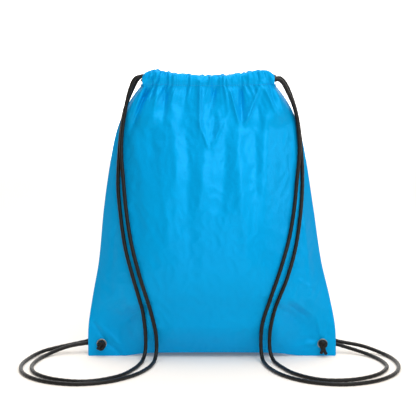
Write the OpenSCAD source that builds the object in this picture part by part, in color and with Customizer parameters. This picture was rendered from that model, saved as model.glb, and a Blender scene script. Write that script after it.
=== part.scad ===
// Drawstring gym bag, standing filled out, with its two strap cords laid on the floor.
// Millimetres. +Z is up, -Y is the front, and the floor is Z = 0.
// The origin is on the floor, midway between the two lower corners.

/* [Bag] */
// Width across the two lower corners
base_w = 338; // [280:2:410]
// Height of the sewn body, from the floor up to the drawstring hem
body_h = 366; // [310:2:440]
// Width of the gathered mouth
mouth_w = 178; // [150:1:214]
// How far the neck leans to the right of the base (negative is left)
neck_lean = -5; // [-12:1:12]
// How far the front bulges in front of its side seams, halfway up
front_bulge = 52; // [43:1:63]
// How far the back bulges behind its side seams, halfway up
back_bulge = 74; // [61:1:89]
// Thickness of one layer of the body cloth
cloth_t = 1.2; // [0.8:0.1:1.6]

/* [Seams] */
// Thickness of the turned-in seam edges that lie between the two panels
seam_t = 0.8; // [0.5:0.1:1.2]
// Width of the turned-in seam edges
seam_w = 8; // [6:0.5:10]
// How far the bottom seam is drawn up in the middle
seam_lift = 8.5; // [5:0.5:11]
// How far the bottom seam stands forward in the middle
seam_reach = 18; // [14:0.5:22]
// Distance from a lower corner's edges that lies flat as an ear
ear_size = 34; // [32:0.5:42]

/* [Hem] */
// Height of the drawstring hem
hem_h = 23; // [21:0.5:30]
// Depth of the hem tunnel, front to back, outside
hem_depth = 8.8; // [8.2:0.1:11]
// Width of the closed mouth's slit, between the two hems
slit_w = 10; // [8:0.5:14]
// Thickness of the sewing thread
thread_d = 0.6; // [0.4:0.1:0.8]

/* [Cords] */
// Diameter of the strap cords
cord_d = 5; // [4:0.1:5.4]
// Clear space between a cord and the cloth or cord that it lies on
cord_gap = 0.4; // [0.3:0.1:0.6]
// Diameter of a knot across its turns
knot_d = 9.2; // [8.6:0.1:11]
// Length of a cord's tail below its knot
tail_l = 12; // [8:0.5:12.5]

/* [Eyelets] */
// Bore of an eyelet
eyelet_bore_d = 8; // [7:0.1:9]
// Wall of an eyelet's barrel
eyelet_wall = 0.8; // [0.5:0.1:1]
// Outer diameter of an eyelet's flange and of its washer
flange_d = 14; // [12.8:0.1:16]
// Thickness of an eyelet's flange
flange_t = 1; // [0.6:0.1:1.2]
// Thickness of an eyelet's washer
washer_t = 0.8; // [0.5:0.1:1]
// Distance of an eyelet's centre from the bag's side edge
eyelet_in = 18; // [16:0.5:20]
// Height of an eyelet's centre above the floor
eyelet_up = 17; // [16:0.5:20]
// Length of a corner patch's two square sides
patch_leg = 37; // [34:0.5:38.5]

/* [Hidden] */

cloth_colour = "#0A9BDC";
hem_colour = "#0890D0";
patch_colour = "#0878B4";
thread_colour = "#0A86C2";
cord_colour = "#1E1C1C";
metal_colour = "#C4C6C8";

base_half = base_w / 2;
mouth_half = mouth_w / 2;
// The body's neck stands out past the hems' ends by this much
neck_out = 2;
neck_half = mouth_half + neck_out;
cord_r = cord_d / 2;
round_fn = 48;
// Extra length of a cutting shape past the face that it cuts
cut = 1;

// Side outline: [share of the body's height, share of the way out from neck to base]
outline = [
    [0, 1], [0.11, 0.985], [0.22, 0.90], [0.355, 0.77], [0.546, 0.66],
    [0.738, 0.525], [0.839, 0.42], [0.913, 0.28], [0.962, 0.14], [1, 0]
];
// Front profile at the middle: [share of the body's height, share of the front bulge]
front_profile = [
    [0, 0], [0.11, 0.40], [0.30, 0.92], [0.50, 1], [0.683, 0.86],
    [0.847, 0.56], [0.943, 0.32], [1, 0.20]
];
// Depth of the side seams in front of the neck, at the base
seam_forward = 36.8;
// The side seams lean back to the neck with this power of the height left
seam_power = 1.3;
// Height below which the side seams stand upright
seam_upright = 45;
// Heights over which the bottom seam's reach and its lift fade out
reach_fade = 80;
lift_fade = 60;
// Blend of the flat ears into the filled body
ear_fade = 50;
// The bag's fullness falls off towards the sides with this power of the distance
body_power = 3;
neck_power = 10;
// Height over which the neck turns from the body's section into the hem's
neck_blend = 66;
lean_height = 240;

// Rows of points up a panel: three across the ear, then even steps up to the hem
row_count = 13;
rows = concat(
    [0, ear_size / 2, ear_size],
    [for (i = [0 : row_count]) mix(seam_upright, body_h, i / row_count)]
);
// Columns of points across a panel, as shares of its half width
ear_u = 1 - ear_size / base_half;
ear_steps = 5;
half_columns = concat(
    [1, (1 + ear_u) / 2],
    [for (i = [0 : ear_steps]) ear_u * (ear_steps - i) / ear_steps]
);
half_count = len(half_columns);
columns = concat(
    [for (u = half_columns) -u],
    [for (i = [1 : half_count - 1]) half_columns[half_count - 1 - i]]
);

function mix(a, b, share) = a + (b - a) * share;
function ease(a) = let (c = min(1, max(0, a))) c * c * (3 - 2 * c);

// Smooth curve through [place, value] points
function slope(pts, i) =
    let (
        low = max(0, i - 1),
        high = min(len(pts) - 1, i + 1)
    )
    (pts[high][1] - pts[low][1]) / (pts[high][0] - pts[low][0]);
function span(pts, x, i = 0) =
    (i >= len(pts) - 2 || x < pts[i + 1][0]) ? i : span(pts, x, i + 1);
function curve(pts, x_in) =
    let (
        x = min(pts[len(pts) - 1][0], max(pts[0][0], x_in)),
        i = span(pts, x),
        h = pts[i + 1][0] - pts[i][0],
        s = (x - pts[i][0]) / h
    )
    (2 * s ^ 3 - 3 * s ^ 2 + 1) * pts[i][1] + (s ^ 3 - 2 * s ^ 2 + s) * h * slope(pts, i)
    + (3 * s ^ 2 - 2 * s ^ 3) * pts[i + 1][1] + (s ^ 3 - s ^ 2) * h * slope(pts, i + 1);

// The bag's frame: half width, lean and seam depth at height z
function half_width(z) = mix(neck_half, base_half, curve(outline, z / body_h));
function lean_x(z) = neck_lean * ease(z / lean_height);
function seam_y(z) =
    -seam_forward * max(0, 1 - max(0, z - seam_upright) / (body_h - seam_upright))
    ^ seam_power;

// How full the bag is at share u of the half width and height z, from 0 at a seam to 1
function ear_share(u, z) =
    ease((max((1 - abs(u)) * half_width(z), z) - ear_size) / ear_fade);
function power(z) =
    mix(body_power, neck_power, ease((z - body_h + neck_blend) / neck_blend));
function fullness(u, z) = (1 - abs(u) ^ power(z)) * ear_share(u, z);

// Depth of the front cloth's outer face at its middle
function front_middle_y(z) =
    seam_y(z) - cloth_t - front_bulge * curve(front_profile, z / body_h)
    - seam_reach * (1 - ease(z / reach_fade));
function front_point(u, z, depth) =
    let (full = fullness(u, z))
    [
        u * half_width(z) + lean_x(z),
        mix(seam_y(z) - cloth_t, front_middle_y(z), full) + depth,
        z + seam_lift * full * (1 - ease(z / lift_fade))
    ];
// Depth of the front cloth's outer face at x, z
function face_y(x, z) =
    let (u = max(-1, min(1, (x - lean_x(z)) / half_width(z))))
    mix(seam_y(z) - cloth_t, front_middle_y(z), fullness(u, z));

// Back profile at the middle, above the heel: [share of the body's height, share of the
// back bulge]
back_profile = [
    [0.10, 0.90], [0.16, 0.97], [0.26, 1.02], [0.38, 1.04], [0.50, 1], [0.66, 0.82],
    [0.80, 0.54], [0.91, 0.30], [1, 0.16]
];
// Underside at the middle, from the bottom seam to the heel: [share of the way back to
// the heel, height before the cloth is pressed flat on the floor], one for each row there
heel_row = 3;
heel_up = 90;
underside = [[0, seam_lift], [0.20, -4], [0.80, -4], [0.94, 9]];
// How far the back's rows sink at the heel, and the height over which they recover
heel_drop = seam_upright - underside[heel_row][1];
heel_fade = 150;
// The underside stays flat nearly to its sides
underside_power = 5;

function back_y(z) = seam_y(z) + seam_t + cloth_t + back_bulge * curve(back_profile, z / body_h);
function back_middle(row) =
    let (
        z = rows[row],
        seam = front_middle_y(0) + cloth_t + seam_t
    )
    row <= heel_row
    ? [mix(seam, back_y(heel_up), underside[row][0]), underside[row][1]]
    : [back_y(z), z - heel_drop * (1 - ease((z - seam_upright) / heel_fade))];
// Direction from the outer face of the cloth into the bag, at the middle
function inward(row) =
    let (
        way = back_middle(min(row + 1, len(rows) - 1)) - back_middle(max(row - 1, 0))
    )
    [-way[1], way[0]] / norm(way);
function back_point(u, row, inside) =
    let (
        z = rows[row],
        middle = back_middle(row) + cloth_t * (inside ? inward(row) : [0, 0]),
        side_y = seam_y(z) + seam_t + (inside ? 0 : cloth_t),
        full = fullness(u, z),
        flat_full = (1 - abs(u) ^ underside_power) * ear_share(u, z),
        up = mix(z, middle[1], row < heel_row ? flat_full : full)
    )
    [
        u * half_width(z) + lean_x(z),
        mix(side_y, middle[0], full),
        max(inside && row > 0 ? cloth_t : 0, up)
    ];

// A closed wall between an outer and an inner grid of points, both given row by row
module cloth_wall(outer, inner) {
    n_row = len(outer);
    n_col = len(outer[0]);
    function at(side, r, c) = side * n_row * n_col + r * n_col + c;
    function quad(a, b, c, d) = [[a, b, c], [a, c, d]];
    function quad_across(a, b, c, d) = [[a, b, d], [b, c, d]];
    function sheet(side, r, c) =
        let (
            a = at(side, r, c),
            b = at(side, side > 0 ? r : r + 1, side > 0 ? c + 1 : c),
            d = at(side, side > 0 ? r + 1 : r, side > 0 ? c : c + 1),
            far = at(side, r + 1, c + 1)
        )
        2 * c < n_col - 1 ? quad(a, b, far, d) : quad_across(a, b, far, d);
    sheet_faces = [
        for (r = [0 : n_row - 2], c = [0 : n_col - 2])
            each concat(sheet(0, r, c), sheet(1, r, c))
    ];
    side_faces = [
        for (r = [0 : n_row - 2])
            each concat(
                quad(at(0, r, 0), at(1, r, 0), at(1, r + 1, 0), at(0, r + 1, 0)),
                quad(
                    at(0, r, n_col - 1), at(0, r + 1, n_col - 1),
                    at(1, r + 1, n_col - 1), at(1, r, n_col - 1)
                )
            )
    ];
    end_faces = [
        for (c = [0 : n_col - 2])
            each concat(
                quad(at(0, 0, c), at(0, 0, c + 1), at(1, 0, c + 1), at(1, 0, c)),
                quad(
                    at(0, n_row - 1, c), at(1, n_row - 1, c),
                    at(1, n_row - 1, c + 1), at(0, n_row - 1, c + 1)
                )
            )
    ];
    polyhedron(
        points = concat([for (line = outer) each line], [for (line = inner) each line]),
        faces = concat(sheet_faces, side_faces, end_faces)
    );
}

// Eyelet places and the layers that they clamp, front to back
eyelet_x = base_half - eyelet_in;
ear_front_y = -seam_forward - cloth_t;
ear_back_y = -seam_forward + seam_t + cloth_t;
barrel_r = eyelet_bore_d / 2 + eyelet_wall;
// Clear space between a barrel and the holes that it passes through
hole_gap = 0.1;
cloth_hole_r = barrel_r + hole_gap;

module along_y(x, y, z) {
    translate([x, y, z]) rotate([-90, 0, 0]) children();
}

module ear_hole(side) {
    margin = 6;
    along_y(side * eyelet_x, ear_front_y - margin, eyelet_up)
        cylinder(h = ear_back_y - ear_front_y + 2 * margin, r = cloth_hole_r, $fn = round_fn);
}

module front_panel() {
    color(cloth_colour) difference() {
        cloth_wall(
            [for (z = rows) [for (u = columns) front_point(-u, z, 0)]],
            [for (z = rows) [for (u = columns) front_point(-u, z, cloth_t)]]
        );
        ear_hole(-1);
        ear_hole(1);
    }
}

module back_panel() {
    color(cloth_colour) difference() {
        cloth_wall(
            [for (r = [0 : len(rows) - 1]) [for (u = columns) back_point(u, r, false)]],
            [for (r = [0 : len(rows) - 1]) [for (u = columns) back_point(u, r, true)]]
        );
        ear_hole(-1);
        ear_hole(1);
    }
}

// Clear space between the seams' ends and the corner patches
patch_gap = 4;

// Turned-in edges of the two panels, sewn together, up one side from the corner patch
module side_seam(side) {
    seam_rows = [for (z = rows) if (z > patch_leg + patch_gap) z];
    function edge(z, inset, depth) = [
        side * (half_width(z) - inset) + lean_x(z), seam_y(z) + depth, z
    ];
    color(thread_colour) cloth_wall(
        [for (z = seam_rows) side > 0
            ? [edge(z, 0, 0), edge(z, seam_w, 0)] : [edge(z, seam_w, 0), edge(z, 0, 0)]],
        [for (z = seam_rows) side > 0
            ? [edge(z, 0, seam_t), edge(z, seam_w, seam_t)]
            : [edge(z, seam_w, seam_t), edge(z, 0, seam_t)]]
    );
}

// Turned-in edges along the bottom, between the two corner patches
module bottom_seam() {
    seam_columns = [for (u = columns) if ((1 - abs(u)) * base_half > patch_leg + patch_gap) u];
    function edge(u, up, depth) = front_point(u, 0, cloth_t + depth) + [0, 0, up];
    color(thread_colour) cloth_wall(
        [for (up = [0, seam_w]) [for (u = seam_columns) edge(-u, up, 0)]],
        [for (up = [0, seam_w]) [for (u = seam_columns) edge(-u, up, seam_t)]]
    );
}

// Three-cornered patch between the two panels, under an eyelet
module corner_patch(side) {
    edge_in = 1.5;
    color(patch_colour) difference() {
        along_y(side * (base_half - edge_in), -seam_forward, edge_in)
            linear_extrude(seam_t)
                polygon([[0, 0], [-side * patch_leg, 0], [0, -patch_leg]]);
        ear_hole(side);
    }
}

// Metal eyelet: flange at the front, barrel through the ear, rolled over its washer
module eyelet(side) {
    roll_t = 0.6;
    roll_out = 0.9;
    roll_r = barrel_r + roll_out;
    bore_r = eyelet_bore_d / 2;
    barrel_l = ear_back_y + washer_t - ear_front_y;
    color(metal_colour) along_y(side * eyelet_x, ear_front_y, eyelet_up)
        rotate_extrude($fn = round_fn)
            polygon([
                [bore_r, -flange_t], [flange_d / 2 - flange_t / 2, -flange_t],
                [flange_d / 2, -flange_t / 2], [flange_d / 2, 0], [barrel_r, 0],
                [barrel_r, barrel_l], [roll_r, barrel_l], [roll_r, barrel_l + roll_t],
                [bore_r, barrel_l + roll_t]
            ]);
}

module eyelet_washer(side) {
    color(metal_colour) along_y(side * eyelet_x, ear_back_y, eyelet_up)
        difference() {
            cylinder(h = washer_t, r = flange_d / 2, $fn = round_fn);
            translate([0, 0, -cut])
                cylinder(h = washer_t + 2 * cut, r = cloth_hole_r, $fn = round_fn);
        }
}

// Hem places: the neck's middle, and the tunnel's middle from the slit's middle
neck_x = lean_x(body_h);
hem_y = (slit_w + hem_depth) / 2;
cord_step = cord_d + cord_gap;
// The two cords lie this much under the tunnel's middle, on its floor
cord_drop = 0.5;
left_cord_z = body_h + hem_h / 2 + cord_step / 2 - cord_drop;
right_cord_z = left_cord_z - cord_step;
// The tunnel's inner wall stops short, so that a cord can turn from hem to hem
turn_in = 9;
// Clear space between a turning cord and the inner wall's end
turn_gap = 2;

module round_cornered(w, h, r) {
    square([w - 2 * r, h], center = true);
    square([w, h - 2 * r], center = true);
    for (x = [-1, 1], y = [-1, 1])
        translate([x * (w / 2 - r), y * (h / 2 - r)]) circle(r = r, $fn = round_fn);
}

// Drawstring tunnel across the mouth; side is -1 for the front and 1 for the back
module hem(side) {
    corner_r = 2.5;
    color(hem_colour) difference() {
        translate([neck_x - mouth_half, side * hem_y, body_h + hem_h / 2])
            rotate([90, 0, 90]) linear_extrude(mouth_w) difference() {
                round_cornered(hem_depth, hem_h, corner_r);
                round_cornered(
                    hem_depth - 2 * cloth_t, hem_h - 2 * cloth_t, corner_r - cloth_t
                );
            }
        for (end = [-1, 1])
            translate([
                neck_x + end * mouth_half, side * slit_w / 2, body_h + hem_h / 2
            ])
                cube([2 * turn_in, 2 * cloth_t + cut, hem_h - 2 * corner_r], center = true);
    }
}

// Row of stitches that closes the tunnel, along the hem's outer face
module hem_thread(side) {
    stitch_up = 4;
    end_in = 3;
    color(thread_colour) translate([
        neck_x - mouth_half + end_in, side * (hem_y + hem_depth / 2 + thread_d / 2), body_h + stitch_up
    ])
        rotate([0, 90, 0]) cylinder(h = mouth_w - 2 * end_in, d = thread_d, $fn = 16);
}

// The stretch of one strap cord inside the two hems: in at one end, round the other
// end from the front hem to the back one, and out again
module cord_in_hem(side, cord_z) {
    exit_x = side * mouth_half;
    turn_x = -side * (mouth_half - turn_in + turn_gap);
    color(cord_colour) translate([neck_x, 0, cord_z]) {
        for (y = [-hem_y, hem_y])
            translate([min(exit_x, turn_x), y, 0])
                rotate([0, 90, 0]) cylinder(h = abs(exit_x - turn_x), r = cord_r, $fn = 24);
        translate([turn_x, 0, 0]) rotate([0, 0, side > 0 ? 90 : -90])
            rotate_extrude(angle = 180, $fn = 96)
                translate([hem_y, 0]) circle(r = cord_r, $fn = 24);
    }
}

// Direction that no route runs along, from which a tube's rings are turned
ring_hint = [0.3, 0.9, 0.25];

// A cord as a tube swept through its route's points
function unit(v) = v / max(0.0001, norm(v));
function tangent(p, i) = unit(p[min(len(p) - 1, i + 1)] - p[max(0, i - 1)]);
module tube(p, r, sides = 8) {
    n = len(p);
    function side_way(t) = unit(cross(t, ring_hint));
    rings = [
        for (i = [0 : n - 1])
            let (t = tangent(p, i), a = side_way(t), b = cross(t, a))
            for (k = [0 : sides - 1])
                p[i] + r * (cos(360 * k / sides) * a + sin(360 * k / sides) * b)
    ];
    skin = [
        for (i = [0 : n - 2], k = [0 : sides - 1])
            let (a = i * sides + k, b = i * sides + (k + 1) % sides)
            each [[a, a + sides, b + sides], [a, b + sides, b]]
    ];
    start_cap = [[for (k = [0 : sides - 1]) k]];
    end_cap = [[for (k = [0 : sides - 1]) n * sides - 1 - k]];
    polyhedron(points = rings, faces = concat(skin, start_cap, end_cap));
}

// Clear height of a tube's middle above the floor, and off the front cloth
floor_gap = 0.1;
floor_z = cord_r + floor_gap;
cloth_clear = 1.2;
// A point on the front cloth: [x, z, height off the cloth]
function on_face(p) = [p[0], face_y(p[0], p[1]) - cord_r - cloth_clear - p[2], p[1]];
function on_floor(p) = [p[0], p[1], floor_z];
function strand(top, face, foot, ground, ear) = concat(
    top, [for (p = face) on_face(p)], foot, [for (p = ground) on_floor(p)], ear
);

// Ends of the free stretches: straight out of the hem, and straight into the knot's neck
neck_back_y = -28;
strand_gap = 0.3;
end_step = cord_r + strand_gap / 2;
straight = cord_r;
function hem_exit(side, hem_side, z) = [
    for (out = [0, straight]) [neck_x + side * (mouth_half + out), hem_side * hem_y, z]
];
function into_neck(side, up) = [
    for (back = [straight, 0]) [side * eyelet_x, neck_back_y + back, eyelet_up + up * end_step]
];

left_front_route = strand(
    concat(
        hem_exit(-1, -1, left_cord_z), [[-104, -9.5, 376], [-110, -9.5, 363], [-115, -9.5, 345]]
    ),
    [
        [-119, 318, 6], [-121, 282, 6], [-120, 245, 3], [-116, 205, 0], [-109, 162, 0],
        [-97, 117, 0.7], [-84, 74, 0.7], [-76, 38, 0]
    ],
    [[-75, -65, 14], [-77, -76, 4]],
    [
        [-84, -112], [-102, -150], [-133, -180], [-172, -191], [-212, -178],
        [-240, -148], [-252, -108], [-248, -65]
    ],
    concat(
        [[-230, -29, 5], [-196, -19, 11], [-174, -15, 15], [-160, -13, 19]],
        [[-152.5, -18, 19.6]], into_neck(-1, 1)
    )
);
left_back_route = strand(
    concat(
        hem_exit(-1, 1, left_cord_z),
        [[-104, 9, 376], [-111, 7.5, 362], [-118.5, 3.5, 346], [-123, -4, 332]]
    ),
    [
        [-124, 308, 0], [-126, 272, 0], [-127, 232, 0], [-123, 192, 0], [-116, 150, 0],
        [-104, 108, 2.5], [-94, 70, 1.5], [-90, 38, 0]
    ],
    [[-90, -64, 14], [-93, -76, 4]],
    [
        [-102, -115], [-122, -155], [-160, -178], [-200, -168], [-228, -140],
        [-238, -105], [-235, -72]
    ],
    concat(
        [[-226, -47, 3], [-210, -30, 7], [-194, -25.5, 11], [-174, -21.5, 13.5]],
        [[-160, -18.5, 14], [-152.5, -21, 14.3]], into_neck(-1, -1)
    )
);
right_front_route = strand(
    concat(
        hem_exit(1, -1, right_cord_z), [[94, -9.5, 370], [100.5, -9.5, 359], [107, -9.5, 343]]
    ),
    [
        [115, 316, 6], [118, 282, 6], [115, 248, 4], [111, 208, 0], [104, 168, 0],
        [93, 131, 0.5], [78, 87, 0.7], [67, 48, 0]
    ],
    [[66, -65, 14], [68, -76, 4]],
    [
        [75, -112], [92, -150], [122, -180], [164, -192], [204, -178],
        [234, -144], [246, -104], [244, -66]
    ],
    concat(
        [[233, -38, 3.5], [207, -20, 9.5], [174, -15, 15], [160, -13, 19]],
        [[152.5, -18, 19.6]], into_neck(1, 1)
    )
);
right_back_route = strand(
    concat(
        hem_exit(1, 1, right_cord_z),
        [[94, 9, 370], [102.5, 7.5, 359], [112.5, 3.5, 343], [118, -4, 328]]
    ),
    [
        [120, 304, 0], [122, 268, 0], [122, 230, 0], [118, 188, 0], [111, 148, 0],
        [99, 110, 1.5], [85, 74, 0.7], [78, 40, 0]
    ],
    [[78, -65, 14], [82, -76, 4]],
    [
        [91, -106], [108, -143], [140, -171], [178, -170], [212, -146],
        [230, -108], [227, -74]
    ],
    concat(
        [[217, -50, 3], [200, -31, 5.5], [174, -22, 11.5]],
        [[160, -18.5, 14], [152.5, -21, 14.3]], into_neck(1, -1)
    )
);

module free_cord(route) {
    color(cord_colour) tube(route, cord_r);
}

// A knot that stops both ends of a cord in front of an eyelet, with its neck and tails
module knot(side) {
    neck_gap = 0.2;
    neck_r = eyelet_bore_d / 2 - neck_gap;
    turn_y = ear_front_y - flange_t - cord_gap - knot_d / 2;
    turns_half = knot_d * 0.75;
    turn_end_r = knot_d * 0.3;
    tail_lean = 12;
    tail_r = cord_r * 0.9;
    color(cord_colour) translate([side * eyelet_x, 0, eyelet_up]) {
        along_y(0, turn_y, 0) cylinder(h = neck_back_y - turn_y, r = neck_r, $fn = round_fn);
        translate([0, turn_y, 0]) rotate([0, 90, 0]) rotate_extrude($fn = 32)
            polygon([
                [0, -turns_half], [turn_end_r, -turns_half], [knot_d / 2, -turns_half / 2],
                [knot_d / 2, turns_half / 2], [turn_end_r, turns_half], [0, turns_half]
            ]);
        for (x = [-1, 1])
            translate([x * cord_r, turn_y, 0]) rotate([0, 180 - x * tail_lean, 0])
                cylinder(h = tail_l, r = tail_r, $fn = 24);
    }
}

front_panel();
back_panel();
side_seam(-1);  // side_seam_left
side_seam(1);  // side_seam_right
bottom_seam();
corner_patch(-1);  // corner_patch_left
corner_patch(1);  // corner_patch_right
eyelet(-1);  // eyelet_left
eyelet(1);  // eyelet_right
eyelet_washer(-1);  // eyelet_washer_left
eyelet_washer(1);  // eyelet_washer_right
hem(-1);  // front_hem
hem(1);  // back_hem
hem_thread(-1);  // front_hem_thread
hem_thread(1);  // back_hem_thread
cord_in_hem(-1, left_cord_z);  // left_cord_in_hem
cord_in_hem(1, right_cord_z);  // right_cord_in_hem
free_cord(left_front_route);  // left_cord_front_run
free_cord(left_back_route);  // left_cord_back_run
free_cord(right_front_route);  // right_cord_front_run
free_cord(right_back_route);  // right_cord_back_run
knot(-1);  // left_knot
knot(1);  // right_knot
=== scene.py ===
"""Drawstring gym bag of blue polyester taffeta, standing filled out, with two black strap cords.

Sizes are in millimetres, in the CAD frame: +Z up, -Y the front, the floor at Z = 0. They are
turned into metres where a mesh is made.
"""

import logging  # noqa: E402
import math  # noqa: E402
from dataclasses import dataclass, field  # noqa: E402
from enum import Enum  # noqa: E402
from functools import partial  # noqa: E402
from typing import Any, Callable, ClassVar, Sequence  # noqa: E402

import bpy  # noqa: E402
import numpy as np  # noqa: E402
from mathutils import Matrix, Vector, noise  # noqa: E402
from mathutils.bvhtree import BVHTree  # noqa: E402

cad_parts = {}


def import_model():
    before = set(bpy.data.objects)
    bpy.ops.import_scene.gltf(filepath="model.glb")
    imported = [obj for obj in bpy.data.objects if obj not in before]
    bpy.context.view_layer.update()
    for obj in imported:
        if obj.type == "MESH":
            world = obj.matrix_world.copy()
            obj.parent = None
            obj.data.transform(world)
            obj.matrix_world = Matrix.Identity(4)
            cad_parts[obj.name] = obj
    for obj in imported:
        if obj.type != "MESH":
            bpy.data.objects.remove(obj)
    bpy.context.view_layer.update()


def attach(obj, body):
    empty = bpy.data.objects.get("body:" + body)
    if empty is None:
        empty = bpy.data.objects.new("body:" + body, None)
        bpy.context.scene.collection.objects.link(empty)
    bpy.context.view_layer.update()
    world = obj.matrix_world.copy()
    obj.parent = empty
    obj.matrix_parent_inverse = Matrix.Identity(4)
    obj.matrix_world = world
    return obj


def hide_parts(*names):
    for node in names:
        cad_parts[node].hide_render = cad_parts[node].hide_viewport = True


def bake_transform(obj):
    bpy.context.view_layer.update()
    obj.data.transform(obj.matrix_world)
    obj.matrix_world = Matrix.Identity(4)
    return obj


LOG = logging.getLogger("gym_bag")
MM = 0.001
Points = Sequence[Sequence[float]]
Array = np.ndarray
Object, Material, Node = bpy.types.Object, bpy.types.Material, bpy.types.Node


class Place(Enum):
    """A place on the bag, with the sign of its axis as value."""

    @property
    def word(self) -> str:
        """The place's name, for piece names."""
        return self.name.lower()


class Side(Place):
    """Left or right half of the bag, as seen from the front."""

    LEFT = -1
    RIGHT = 1


class Face(Place):
    """Front or back of the bag."""

    FRONT = -1
    BACK = 1


# ---------------------------------------------------------------- small maths


def ease(a: Array) -> Array:
    """Smooth step from 0 to 1.

    Args:
        a: places, where 0 is the step's start and 1 its end.

    Returns:
        The eased values, from 0 to 1.
    """
    c = np.clip(a, 0, 1)
    return c * c * (3 - 2 * c)


def mix(a: Any, b: Any, share: Any) -> Any:
    """The value that lies a share of the way from a to b."""
    return a + (b - a) * share


def curve_at(points: Points, x: Array) -> Array:
    """Smooth curve through [place, value] points, as the CAD source draws it.

    Args:
        points: the curve's points, in order of place.
        x: the places to read.

    Returns:
        The curve's values there.
    """
    p = np.array(points, float)
    low = np.maximum(np.arange(len(p)) - 1, 0)
    high = np.minimum(np.arange(len(p)) + 1, len(p) - 1)
    slope = (p[high, 1] - p[low, 1]) / (p[high, 0] - p[low, 0])
    x = np.clip(x, p[0, 0], p[-1, 0])
    i = np.clip(np.searchsorted(p[:, 0], x, side="right") - 1, 0, len(p) - 2)
    h = p[i + 1, 0] - p[i, 0]
    s = (x - p[i, 0]) / h
    return (
        (2 * s**3 - 3 * s**2 + 1) * p[i, 1]
        + (s**3 - 2 * s**2 + s) * h * slope[i]
        + (3 * s**2 - 2 * s**3) * p[i + 1, 1]
        + (s**3 - s**2) * h * slope[i + 1]
    )


def between(values: Array, at: Array) -> Array:
    """Smooth curve through values that stand at 0, 1, 2 and so on, read at places at."""
    return curve_at(np.stack([np.arange(len(values)), values], 1), at)


def blurred(values: Array, sigma: float) -> Array:
    """A row of values, each averaged with its neighbours.

    Args:
        values: one row per sample.
        sigma: spread of the average, in samples.

    Returns:
        The smoothed rows.
    """
    reach = int(3 * sigma) + 1
    weights = np.exp(-0.5 * (np.arange(-reach, reach + 1) / sigma) ** 2)
    weights /= weights.sum()
    padded = np.concatenate([values[:1].repeat(reach, 0), values, values[-1:].repeat(reach, 0)])
    if values.ndim == 1:
        return np.convolve(padded, weights, mode="valid")
    columns = [np.convolve(padded[:, k], weights, mode="valid") for k in range(values.shape[1])]
    return np.stack(columns, 1)


def unit(v: Array) -> Array:
    """Vectors scaled to length 1."""
    return v / np.maximum(np.linalg.norm(v, axis=-1, keepdims=True), 1e-9)


def along(points: Array) -> Array:
    """Distance along a line of points, from its start."""
    return np.concatenate([[0], np.cumsum(np.linalg.norm(np.diff(points, axis=0), axis=1))])


def resampled(points: Array, step: float) -> Array:
    """A line of points cut into equal steps.

    Args:
        points: the line's points.
        step: wanted distance between two points.

    Returns:
        The new points, both ends kept.
    """
    s = along(points)
    count = max(2, int(round(s[-1] / step)) + 1)
    places = np.linspace(0, s[-1], count)
    return np.stack([np.interp(places, s, points[:, k]) for k in range(3)], 1)


def smooth_line(points: Points, step: float) -> Array:
    """Centripetal Catmull-Rom curve through the points, in equal steps.

    Args:
        points: the points that the curve passes through.
        step: distance between two points of the result.

    Returns:
        The curve's points.
    """
    p, per_span = np.array(points, float), 24
    p = np.concatenate([[2 * p[0] - p[1]], p, [2 * p[-1] - p[-2]]])
    knots = np.concatenate([[0], np.cumsum(np.sqrt(np.linalg.norm(np.diff(p, axis=0), axis=1)))])
    line = []
    for i in range(1, len(p) - 2):
        t0, t1, t2, t3 = knots[i - 1 : i + 3]
        t = np.linspace(t1, t2, per_span, endpoint=False)[:, None]
        a1 = (t1 - t) / (t1 - t0) * p[i - 1] + (t - t0) / (t1 - t0) * p[i]
        a2 = (t2 - t) / (t2 - t1) * p[i] + (t - t1) / (t2 - t1) * p[i + 1]
        a3 = (t3 - t) / (t3 - t2) * p[i + 1] + (t - t2) / (t3 - t2) * p[i + 2]
        b1 = (t2 - t) / (t2 - t0) * a1 + (t - t0) / (t2 - t0) * a2
        b2 = (t3 - t) / (t3 - t1) * a2 + (t - t1) / (t3 - t1) * a3
        line.append((t2 - t) / (t2 - t1) * b1 + (t - t1) / (t2 - t1) * b2)
    return resampled(np.concatenate([*line, p[-2:-1]]), step)


def grid_normals(grid: Array) -> Array:
    """Normals of a grid of points, by the differences between its neighbours.

    Args:
        grid: rows x columns x 3 points, with rows going up and columns to the right.

    Returns:
        One unit normal a point, on the side from which columns run to the right.
    """
    across = np.gradient(grid, axis=1)
    upward = np.gradient(grid, axis=0)
    return unit(np.cross(across, upward))


def grid_quads(rows: int, columns: int) -> Array:
    """The faces of a grid of points, as vertex numbers."""
    number = np.arange(rows * columns).reshape(rows, columns)
    corners = [number[:-1, :-1], number[:-1, 1:], number[1:, 1:], number[1:, :-1]]
    return np.stack(corners, -1).reshape(-1, 4)


# ---------------------------------------------------------------- meshes


def mesh_piece(
    name: str,
    points: Array,
    faces: Sequence[Sequence[int]],
    finish: Material,
    uv: Array | None = None,
    normals: Array | None = None,
) -> Object:
    """Makes one finished mesh object.

    Args:
        name: the piece's name.
        points: its vertices in millimetres.
        faces: its faces, as vertex numbers.
        finish: its material.
        uv: one UV place a face corner, or None.
        normals: one normal a face corner, or None for the mesh's own smooth ones.

    Returns:
        The object, at the origin.
    """
    mesh = bpy.data.meshes.new(name)
    mesh.from_pydata((np.asarray(points, float) * MM).tolist(), [], [list(f) for f in faces])
    mesh.polygons.foreach_set("use_smooth", np.ones(len(mesh.polygons), bool))
    if uv is not None:
        layer = mesh.uv_layers.new(name="cloth")
        layer.data.foreach_set("uv", np.asarray(uv, np.float32).ravel())
    mesh.materials.append(finish)
    mesh.update()
    if normals is not None:
        mesh.normals_split_custom_set(np.asarray(normals, np.float32).tolist())
    piece = bpy.data.objects.new(name, mesh)
    bpy.context.scene.collection.objects.link(piece)
    return piece


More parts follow.
